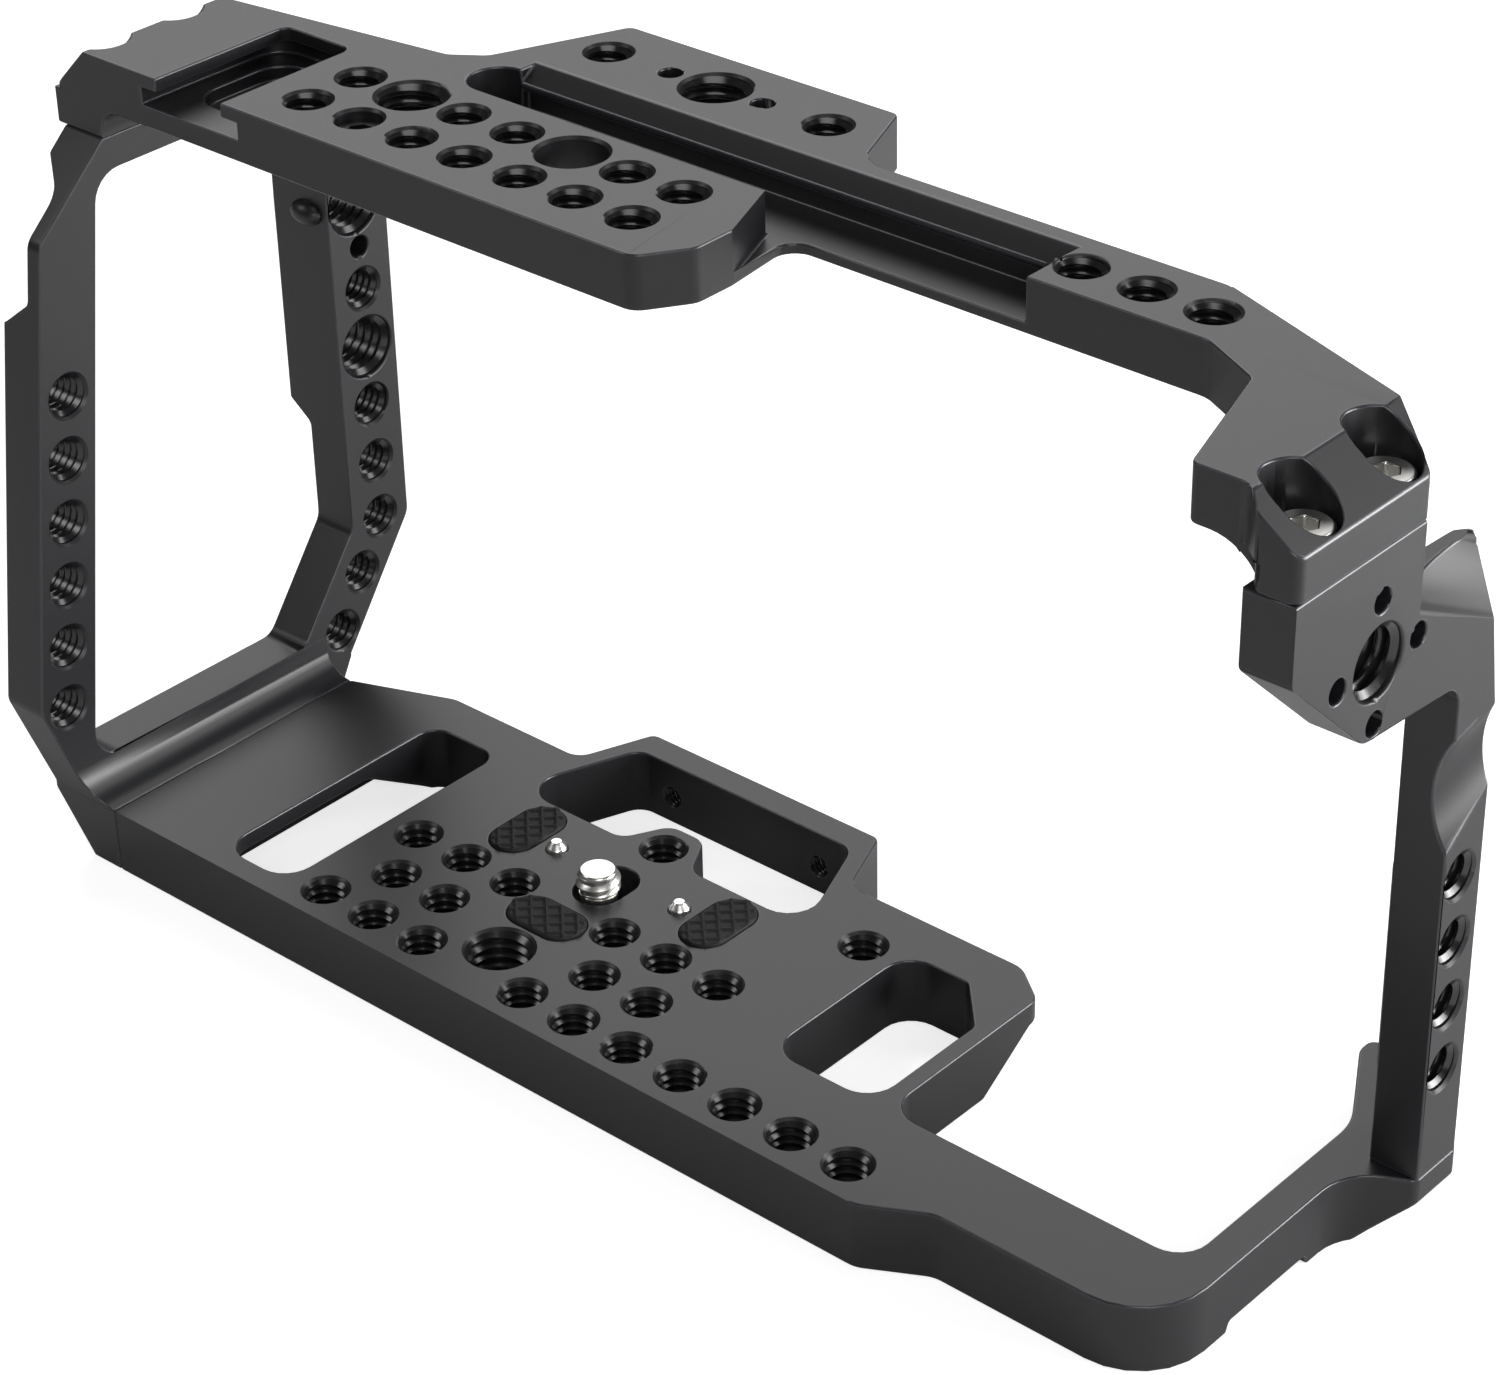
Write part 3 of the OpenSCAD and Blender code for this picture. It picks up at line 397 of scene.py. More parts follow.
def joined(meshes: list[bpy.types.Mesh]) -> bpy.types.Mesh:
    """Joins meshes into the first one's successor and removes them.

    Args:
        meshes: Plain meshes in the same frame.

    Returns:
        One mesh with all of their faces.
    """
    work = bmesh.new()
    for mesh in meshes:
        work.from_mesh(mesh)
    out = bpy.data.meshes.new("joined")
    work.to_mesh(out)
    work.free()
    for mesh in meshes:
        bpy.data.meshes.remove(mesh)
    return out


def merged_copy(node: str) -> bpy.types.Mesh:
    """Copies a solid's mesh, merged and with its flat faces made whole.

    Args:
        node: Name of the solid.

    Returns:
        The merged copy.
    """
    return merged(frame["nodes"][node].data, node)


def merged(source: bpy.types.Mesh, node: str) -> bpy.types.Mesh:
    """Merges a mesh's corners and makes its flat faces whole.

    Args:
        source: The mesh. It stays as it is.
        node: Name of the solid that it shows.

    Returns:
        The merged copy.
    """
    work = bmesh.new()
    work.from_mesh(source)
    bmesh.ops.remove_doubles(work, verts=work.verts, dist=WELD_REACH)
    bmesh.ops.dissolve_limit(work, angle_limit=math.radians(PLANE_DEG), verts=work.verts,
                             edges=work.edges, use_dissolve_boundaries=False)
    mesh = bpy.data.meshes.new(node + "_copy")
    work.to_mesh(mesh)
    work.free()
    return mesh


def grown(tree: bpy.types.NodeTree, places: list[Vector], values: dict[str, object]) -> bpy.types.Mesh:
    """Runs a geometry tree on a set of points.

    Args:
        tree: The geometry tree.
        places: The points that it sets its copies on.
        values: Values for its named inputs.

    Returns:
        Plain mesh of what the tree makes.
    """
    points = bpy.data.meshes.new("places")
    points.from_pydata(places, [], [])
    holder = placed("places", points)
    modifier = holder.modifiers.new("copies", "NODES")
    modifier.node_group = tree
    ids = {s.name: s.identifier for s in tree.interface.items_tree if s.in_out == "INPUT"}
    for label, value in values.items():
        modifier[ids[label]] = value
    return baked(holder)


# ---------------------------------------------------------------- threads


@dataclass
class ThreadCutter:
    """Geometry nodes that cut the look of a thread into every hole of a set.

    Attributes:
        depth_share: Depth of the ridge in pitches.
        steps: Faces along one turn.
        end_angle: Where round the hole the ridge ends at its upper end.
        root_gap: How far the root lies inside the metal.
        foot_share: Width of the ridge's foot in pitches.
        narrowing: How much narrower its crest is, in pitches.
        least_taper: Share of the foot's width that is left at the very ends.
        name: Name of the node tree.
    """

    depth_share: float = 0.5
    steps: int = 28
    end_angle: float = math.radians(-48.0)
    root_gap: float = 0.02 * MM
    foot_share: float = 0.96
    narrowing: float = 0.55
    least_taper: float = 0.04
    name: str = "internal_thread"

    def tree(self) -> bpy.types.NodeTree:
        """Builds the node tree, or returns it if it is already built.

        Returns:
            The geometry node tree, with named inputs for its sizes.
        """
        found = bpy.data.node_groups.get(self.name)
        if found:
            return found
        t = CopyTree(self.name, ("Radius", "Crest", "Pitch", "Length"))
        given = t.given
        m = t.maths
        turns = m("DIVIDE", given["Length"], given["Pitch"])
        columns = m("ROUND", m("MULTIPLY", turns, float(self.steps)))
        strip = t.add("GeometryNodeMeshGrid", {"Vertices X": m("ADD", columns, 1.0), "Vertices Y": 4})
        where = t.position()
        along, across = m("ADD", where["X"], 0.5), m("ADD", where["Y"], 0.5)
        turned = m("MULTIPLY", m("MULTIPLY", m("SUBTRACT", along, 1.0), turns), 2 * math.pi)
        angle = m("ADD", turned, self.end_angle)
        # The four rows of the strip are foot, crest, crest and foot of the ridge
        middle = m("SUBTRACT", across, 0.5)
        rise = m("MINIMUM", m("MULTIPLY", m("SUBTRACT", 0.5, m("ABSOLUTE", middle)), 3.0), 1.0)
        # It fades in and out over half a turn
        ends = (m("MULTIPLY", m("MULTIPLY", part, turns), 2.0) for part in (along, m("SUBTRACT", 1.0, along)))
        fade = m("MINIMUM", m("MINIMUM", *ends), 1.0)
        depth = m("SUBTRACT", given["Crest"], given["Radius"])
        radius = m("ADD", given["Radius"], m("MULTIPLY", m("MULTIPLY", rise, fade), depth))
        # It tapers at both ends too, so it can start right at the lip
        width = m("SUBTRACT", self.foot_share, m("MULTIPLY", rise, self.narrowing))
        spread = m("MULTIPLY", m("MULTIPLY", m("MULTIPLY", middle, given["Pitch"]), width),
                   m("MAXIMUM", fade, self.least_taper))
        x, y = (m("MULTIPLY", radius, m(way, angle)) for way in ("COSINE", "SINE"))
        z = m("ADD", m("MULTIPLY", along, given["Length"]), spread)
        t.close(t.bent(strip, x, y, z), m("GREATER_THAN", given["Crest"], given["Radius"]))
        return t.tree

    def cut(self, size: ThreadSize, places: list[Vector], axis: Axis, low: float, high: float,
            outward: bool = False) -> bpy.types.Mesh:
        """Makes the threads of a set of holes, or of a screw.

        Args:
            size: The thread's size.
            places: A point on each hole's axis.
            axis: The row axis that the holes run along.
            low: Where the threads start along that axis.
            high: Where they end.
            outward: Whether the ridge stands outward, on a screw.

        Returns:
            Plain mesh of all the threads.
        """
        starts = [place.copy() for place in places]
        for start in starts:
            start[axis.value] = low
        root, crest = size.radius + self.root_gap, size.radius - size.pitch * self.depth_share
        if outward:
            root, crest = crest, size.radius
        return grown(self.tree(), starts, {
            "Radius": root, "Crest": crest, "Pitch": size.pitch, "Length": high - low,
            "Turn": axis.turn().to_euler(), "Finish": THREAD.material()})


def mount_places(name: str) -> list[Vector]:
    """Finds the holes of one of the record's mounts.

    Args:
        name: Name of a round or bolt pattern mount.

    Returns:
        A point on each hole's axis.
    """
    mount = next(m for m in frame["record"]["mounts"] if m["name"] == name)
    centre, dims = Vector(mount["pos_m"]), mount["dims"]
    if mount["kind"] != "bolt_pattern":
        return [centre]
    ways = [Vector([float(i == k) for k in range(3)]) for i in range(3) if abs(mount["axis"][i]) < 0.5]
    if "pcd_mm" in dims:
        reach = dims["pcd_mm"] * MM / 2
        angles = [2 * math.pi * k / dims["count"] for k in range(dims["count"])]
        return [centre + (ways[0] * math.cos(a) + ways[1] * math.sin(a)) * reach for a in angles]
    ends = [Vector()]
    for way, label in zip(ways, ("spacing_x_mm", "spacing_y_mm")):
        if label in dims:
            half = way * (dims[label] * MM / 2)
            ends = [end + side for end in ends for side in (-half, half)]
    return [centre + end for end in ends]


def all_places(*names: str) -> list[Vector]:
    """Finds the holes of several mounts, in their order."""
    return [place for name in names for place in mount_places(name)]


# ---------------------------------------------------------------- plates


@dataclass
class EdgeRounder:
    """Rounds the sharp edges of a solid, and leaves those sharp that rounding would spoil.

    Attributes:
        width: Distance of the rounding's rims from the edge.
        steps: Faces across it.
        least_deg: Smallest turn of an edge that is rounded.
        passes: Most tries; after each one the spoiled edges are left out.
        room_share: Least room beside an edge, in widths.
        stray_share: Largest distance of a corner from the solid, in widths.
        fold_share: The same for the middle of a small face.
        least_facing: Least agreement of a small face's normal with the solid's.
        reach_share: How far a spoiled face's corner may lie from the corner it came from, in widths.
        least_area: Faces smaller than this are not looked at.
    """

    width: float = 0.3 * MM
    steps: int = 2
    least_deg: float = 28.0
    passes: int = 7
    room_share: float = 2.2
    stray_share: float = 0.8
    fold_share: float = 0.6
    least_facing: float = 0.1
    reach_share: float = 4.0
    least_area: float = 1e-12

    def sharp_edges(self, work: bmesh.types.BMesh) -> set[int]:
        """Finds the edges that turn enough and have room on both sides.

        Args:
            work: The merged solid.

        Returns:
            Numbers of the edges.
        """
        found = set()
        for edge in work.edges:
            if len(edge.link_faces) != 2 or edge.calc_face_angle(0.0) < math.radians(self.least_deg):
                continue
            length = max(edge.calc_length(), WELD_REACH)
            areas = (face.calc_area() * (2 if len(face.verts) == 3 else 1) for face in edge.link_faces)
            if min(areas) / length > self.room_share * self.width:
                found.add(edge.index)
        return found

    def spoiled(self, work: bmesh.types.BMesh, solid: BVHTree, corners: KDTree) -> set[int]:
        """Finds the corners of the solid whose rounding went astray.

        Args:
            work: The rounded mesh.
            solid: Search tree of the solid before.
            corners: Search tree of the solid's corners.

        Returns:
            Numbers of the corners.
        """
        found = set()
        for face in work.faces:
            if face.calc_area() < self.least_area:
                continue
            spots = [v.co for v in face.verts]
            astray = [solid.find_nearest(spot)[3] > self.stray_share * self.width for spot in spots]
            # A stray corner of a large face taints its two neighbours, a folded small face all of its corners
            astray = [astray[k - 1] or bad or astray[(k + 1) % len(spots)] for k, bad in enumerate(astray)]
            if len(spots) < 5 and not any(astray):
                _, normal, _, reach = solid.find_nearest(face.calc_center_median())
                if reach > self.fold_share * self.width or normal.dot(face.normal) < self.least_facing:
                    astray = [True] * len(spots)
            for spot, bad in zip(spots, astray):
                if bad:
                    _, index, reach = corners.find(spot)
                    if reach < self.reach_share * self.width:
                        found.add(index)
        return found

    def bevelled(self, plain: bmesh.types.BMesh, edges: set[int]) -> bmesh.types.BMesh:
        """Rounds edges of a copy and marks the new faces.

        Args:
            plain: The merged solid.
            edges: Numbers of the edges.

        Returns:
            The rounded copy.
        """
        work = plain.copy()
        work.edges.ensure_lookup_table()
        made = bmesh.ops.bevel(work, geom=[work.edges[i] for i in edges], offset=self.width,
                               offset_type="OFFSET", segments=self.steps, profile=0.5, affect="EDGES",
                               clamp_overlap=False, loop_slide=True)
        mark = work.faces.layers.float[EDGE_MARK]
        for face in made["faces"]:
            face[mark] = 1.0
        work.normal_update()
        return work

    def round(self, solid: bpy.types.Mesh) -> bpy.types.Mesh:
        """Rounds a merged solid.

        Args:
            solid: The merged mesh. It is removed.

        Returns:
            The rounded mesh.
        """
        plain = bmesh.new()
        plain.from_mesh(solid)
        plain.faces.layers.float.new(EDGE_MARK)
        plain.edges.ensure_lookup_table()
        tree = BVHTree.FromBMesh(plain)
        corners = KDTree(len(plain.verts))
        for vert in plain.verts:
            corners.insert(vert.co, vert.index)
        corners.balance()
        edges = self.sharp_edges(plain)
        left = 0
        for _ in range(self.passes):
            work = self.bevelled(plain, edges)
            bad = self.spoiled(work, tree, corners)
            dropped = {i for i in edges if any(v.index in bad for v in plain.edges[i].verts)}
            if not dropped:
                break
            left += len(dropped)
            edges -= dropped
            work.free()
        else:
            work = plain.copy()
        log.info("%s: %d edges rounded, %d left sharp", solid.name, len(edges), left)
        bpy.data.meshes.remove(solid)
        out = bpy.data.meshes.new("rounded")
        work.to_mesh(out)
        work.free()
        plain.free()
        return out


def shaded(mesh: bpy.types.Mesh, smooth_deg: float) -> bpy.types.Mesh:
    """Shades a mesh so that its large flat faces stay flat beside rounded edges.

    Args:
        mesh: Plain mesh. It is removed.
        smooth_deg: Largest angle that is shaded smooth.

    Returns:
        The mesh with its own normals.
    """
    smoothed(mesh, smooth_deg)
    holder = placed("shading", mesh)
    weigh = holder.modifiers.new("weighing", "WEIGHTED_NORMAL")
    weigh.mode, weigh.weight, weigh.keep_sharp = "FACE_AREA", 90, True
    return flattened(baked(holder), smooth_deg)


def flattened(mesh: bpy.types.Mesh, smooth_deg: float, least_deg: float = 1.0) -> bpy.types.Mesh:
    """Gives every plane face its own normal, so that slivers between holes don't pick up their rims' shading.

    Args:
        mesh: Mesh with its own normals and marked rounded edges.
        smooth_deg: Largest angle that is shaded smooth.
        least_deg: Smallest angle that counts as part of a curved face.

    Returns:
        The same mesh.
    """
    normals = [normal.vector.copy() for normal in mesh.corner_normals]
    low, high = math.radians(least_deg), math.radians(smooth_deg)
    work = bmesh.new()
    work.from_mesh(mesh)
    mark = work.faces.layers.float[EDGE_MARK]
    for face, polygon in zip(work.faces, mesh.polygons):
        beside = [edge for edge in face.edges if not any(other[mark] for other in edge.link_faces)]
        if face[mark] or any(low < edge.calc_face_angle(0.0) < high for edge in beside):
            continue
        for corner in polygon.loop_indices:
            normals[corner] = face.normal.copy()
    work.free()
    mesh.normals_split_custom_set(normals)
    return mesh


@dataclass
class MilledPart:
    """A milled part of the cage: its solid with rounded edges, and the threads in its holes."""

    node: str
    lip: float = 0.35 * MM
    thread_smooth_deg: float = 30.0
    rounder: EdgeRounder = field(default_factory=EdgeRounder)
    cutter: ThreadCutter = field(default_factory=ThreadCutter)

    def build(self) -> None:
        """Builds the part and its threads."""
        body = shaded(self.rounder.round(self.solid()), SMOOTH_DEG)
        settle(self.node + "_milled", body, ANODISED, "cage", (self.node,), None)
        settle(self.node + "_threads", joined(self.threads()), THREAD, "cage", (),
               self.thread_smooth_deg)

    def solid(self) -> bpy.types.Mesh:
        """Copies the part's solid.

        Returns:
            The merged mesh.
        """
        return merged_copy(self.node)

    def threads(self) -> list[bpy.types.Mesh]:
        """Makes the threads of the part's holes.

        Returns:
            One mesh for each set of holes.
        """
        raise NotImplementedError


@dataclass
class BottomPlate(MilledPart):
    """The plate under the camera."""

    node: str = "bottom_plate"
    hoop_wall: float = 4.6 * MM

    def threads(self) -> list[bpy.types.Mesh]:
        """Makes the threads of the hole field and of the hoop.

        Returns:
            One mesh for each set of holes.
        """
        low, high = (corner[2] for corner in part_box(self.node))
        low, high = low + self.lip, high - self.lip
        small = all_places("field_left_square", "field_left_pair", "field_right_square",
                           "field_right_pair", "near_row_pair_1", "near_row_pair_2",
                           "middle_pair_left", "middle_pair_right", "far_pair")
        tripod, hoop = mount_places("tripod_thread"), mount_places("hoop_holes")
        return [self.cutter.cut(ThreadSize.QUARTER, small, Axis.Z, low, high),
                self.cutter.cut(ThreadSize.THREE_EIGHTHS, tripod, Axis.Z, low, high),
                self.cutter.cut(ThreadSize.SMALL, hoop, Axis.Y, hoop[0].y - self.hoop_wall, hoop[0].y)]


@dataclass
class TopPlate(MilledPart):
    """The plate over the camera, with its field of holes, rail, arm and head block."""

    node: str = "top_plate"
    thickness: float = 7.5 * MM
    corner_near: tuple[float, float] = (28.98 * MM, -1.32 * MM)
    corner_far: tuple[float, float] = (24.5 * MM, 9.9 * MM)
    corner_floor: float = 103.7 * MM
    corner_room: float = 9.525 * MM

    def corner_prism(self) -> bpy.types.Object:
        """Makes the prism right of the slanted line, over the floor beside the hole field.

        Returns:
            The prism as an object.
        """
        (x0, y0), (x1, y1) = self.corner_near, self.corner_far
        base = ((x0, y0), (x0 + self.corner_room, y0), (x0 + self.corner_room, y1), (x1, y1))
        heights = (self.corner_floor, self.corner_floor + self.corner_room)
        mesh = bpy.data.meshes.new("corner_prism")
        walls = [(k, (k + 1) % 4, (k + 1) % 4 + 4, k + 4) for k in range(4)]
        mesh.from_pydata([(*spot, z) for z in heights for spot in base], [],
                         [(3, 2, 1, 0), (4, 5, 6, 7), *walls])
        return placed("corner_prism", mesh)

    def solid(self) -> bpy.types.Mesh:
        """Copies the solid, with the far right corner of its hole field brought to a slanted line.

        Returns:
            The merged mesh.
        """
        prism = self.corner_prism()
        holder = placed("corner_cut", merged_copy(self.node))
        cut = holder.modifiers.new("corner", "BOOLEAN")
        cut.operation, cut.solver, cut.object = "DIFFERENCE", "EXACT", prism
        rough, cutter = baked(holder), prism.data
        bpy.data.objects.remove(prism)
        bpy.data.meshes.remove(cutter)
        # What the cut leaves of the step left of the line is drawn out to it
        (x0, y0), (x1, y1) = self.corner_near, self.corner_far
        for vert in rough.vertices:
            x, y, z = vert.co
            line_x = x0 + (x1 - x0) * (y - y0) / (y1 - y0)
            if x1 - SLACK < x < line_x and y0 < y < y1 and z > self.corner_floor - SLACK:
                vert.co.x = line_x
        mesh = merged(rough, self.node)
        bpy.data.meshes.remove(rough)
        return mesh

    def threads(self) -> list[bpy.types.Mesh]:
        """Makes the threads of the hole field, the front pad and the arm.

        Returns:
            One mesh for each set of holes.
        """
        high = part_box(self.node)[1][2] - self.lip
        low = high - self.thickness + 2 * self.lip
        small = all_places("top_square_left", "top_square_right", "top_pair_left", "front_pad_pair",
                           "arm_pair")
        small += [mount_places("top_square_right")[0] - Vector((HOLE_PITCH, 0, 0)),
                  sum(mount_places("arm_pair"), Vector()) / 2]
        large = all_places("top_large_thread", "front_pad_thread")
        return [self.cutter.cut(ThreadSize.QUARTER, small, Axis.Z, low, high),
                self.cutter.cut(ThreadSize.THREE_EIGHTHS, large, Axis.Z, low, high)]


@dataclass
class LeftFrame(MilledPart):
    """The open frame on the left side, with its two rows of holes."""

    node: str = "left_side_frame"
    near_top: tuple[float, float] = (-25.2 * MM, 63.3 * MM)
    near_lean: float = 7.7
    near_count: int = 6
    slant_top: tuple[float, float] = (25.9 * MM, 12.9 * MM)
    slant_lean: float = 30.5
    slant_count: int = 2
    far_large: tuple[float, float] = (29.9 * MM, 72.6 * MM)
    wall: float = 7.6 * MM
    thick_wall: float = 11.6 * MM
    dome_place: tuple[float, float, float] = (-77.2 * MM, 24.6 * MM, 71.9 * MM)
    dome_half: tuple[float, float, float] = (3.0 * MM, 1.9 * MM, 1.9 * MM)
    dome_cells: tuple[int, int] = (32, 16)
    dome_smooth_deg: float = 60.0

    def build(self) -> None:
        """Builds the frame, and the swelling beside the large thread of its far bar."""
        super().build()
        work = bmesh.new()
        place = Matrix.Translation(self.dome_place) @ Matrix.Diagonal((*self.dome_half, 1.0))
        bmesh.ops.create_uvsphere(work, u_segments=self.dome_cells[0], v_segments=self.dome_cells[1],
                                  radius=1.0, matrix=place)
        mesh = bpy.data.meshes.new("far_bar_dome")
        work.to_mesh(mesh)
        work.free()
        settle("far_bar_dome", mesh, ANODISED, "cage", (), self.dome_smooth_deg)

    def line(self, top: tuple[float, float], lean: float, count: int) -> list[Vector]:
        """Places holes down a leaning line.

        Args:
            top: Place of the first hole, as y and z.
            lean: Lean of the line from upright, in degrees.
            count: Number of holes.

        Returns:
            A point on each hole's axis.
        """
        way = Vector((0, -math.sin(math.radians(lean)), -math.cos(math.radians(lean)))) * HOLE_PITCH
        return [Vector((0, *top)) + way * k for k in range(count)]

    def threads(self) -> list[bpy.types.Mesh]:
        """Makes the threads of both bars.

        Returns:
            One mesh for each set of holes.
        """
        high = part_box(self.node)[0][0] + self.thick_wall
        thin, thick = high - self.wall + self.lip, high - self.thick_wall + self.lip
        high -= self.lip
        small = self.line(self.near_top, self.near_lean, self.near_count)
        small += self.line(self.slant_top, self.slant_lean, self.slant_count)
        small += mount_places("far_bar_lower_pair")
        pair = mount_places("far_bar_pair")
        large = [Vector((0, *self.far_large)), sum(pair, Vector()) / 2]
        return [self.cutter.cut(ThreadSize.QUARTER, small, Axis.X, thin, high),
                self.cutter.cut(ThreadSize.QUARTER, pair, Axis.X, thick, high),
                self.cutter.cut(ThreadSize.THREE_EIGHTHS, large, Axis.X, thick, high)]


@dataclass
class RightPost(MilledPart):
    """The post on the right side, with its head."""

    node: str = "right_side_post"
    ear_inner_x: float = 116.5 * MM
    ear_far_y: float = 25.3 * MM
    ear_foot: tuple[float, float] = (122.3 * MM, 74.2 * MM)
    ear_lean: float = 0.35
    ear_top_z: float = 88.3 * MM
    ear_drop: float = 1.0 * MM

    def solid(self) -> bpy.types.Mesh:
        """Copies the solid, with the ear's far edge straightened and its inner rim lowered.

        Returns:
            The merged mesh.
        """
        mesh = merged_copy(self.node)
        foot_x, foot_z = self.ear_foot
        for vert in mesh.vertices:
            x, y, z = vert.co
            if y <= self.ear_far_y:
                continue
            if x > self.ear_inner_x and z > foot_z:
                vert.co.x = foot_x - (z - foot_z) * self.ear_lean
            elif x < self.ear_inner_x and z > self.ear_top_z - 2 * self.ear_drop:
                vert.co.z -= self.ear_drop
        return mesh

    def threads(self) -> list[bpy.types.Mesh]:
        """Makes the threads of the post and its head.

        Returns:
            One mesh for each set of holes.
        """
        low, high = (corner[0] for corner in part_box(self.node))
        low, high = low + self.lip, high - self.lip
        row, head = all_places("post_upper_pair", "post_lower_pair"), mount_places("post_head_thread")
        return [self.cutter.cut(ThreadSize.QUARTER, row, Axis.X, low, high),
                self.cutter.cut(ThreadSize.THREE_EIGHTHS, head, Axis.X, low, high)]


# ---------------------------------------------------------------- small pieces


@dataclass
class Fastener:
    """A small turned piece: its solid with fine rounded edges."""

    node: str
    finish: Finish
    slot: str = "bright_steel"
    body: str = "cage"
    rise_share: float = 1.0
    rounder: EdgeRounder = field(default_factory=lambda: EdgeRounder(width=0.1 * MM))

    def mesh(self) -> bpy.types.Mesh:
        """Makes the rounded mesh of the piece, with what stands above the seat lowered to its share.

        Returns:
            The rounded mesh.
        """
        plain = merged_copy(self.node)
        for vert in plain.vertices:
            if vert.co.z > 0.0 and self.rise_share < 1.0:
                vert.co.z *= self.rise_share
        return self.rounder.round(plain)

    def build(self) -> None:
        """Builds the piece."""
        settle(self.node + "_turned", shaded(self.mesh(), SMOOTH_DEG), self.finish,
               self.body, (self.node,), None)


@dataclass
class CameraScrew(Fastener):
    """The camera screw, whose plain shank is turned down to the thread's root and gets its ridge."""

    node: str = "camera_screw"
    finish: Finish = field(default_factory=lambda: NICKEL)
    body: str = "screw"
    ridge_foot: float = 0.25 * MM
    ridge_end: float = 0.55 * MM
    cutter: ThreadCutter = field(default_factory=lambda: ThreadCutter(depth_share=0.42))
    rounder: EdgeRounder = field(default_factory=lambda: EdgeRounder(width=0.15 * MM))

    def mesh(self) -> bpy.types.Mesh:
        """Makes the rounded mesh of the screw with its ridge.

        Returns:
            The rounded mesh.
        """
        plain = merged_copy(self.node)
        size = ThreadSize.QUARTER
        root = size.radius - size.pitch * self.cutter.depth_share
        top = max(vert.co.z for vert in plain.vertices)
        for vert in plain.vertices:
            reach = math.hypot(vert.co.x, vert.co.y)
            if vert.co.z > -SLACK and reach > root:
                vert.co.x *= root / reach
                vert.co.y *= root / reach
        ridge = self.cutter.cut(size, [Vector()], Axis.Z, self.ridge_foot, top - self.ridge_end, True)
        return joined([self.rounder.round(plain), ridge])


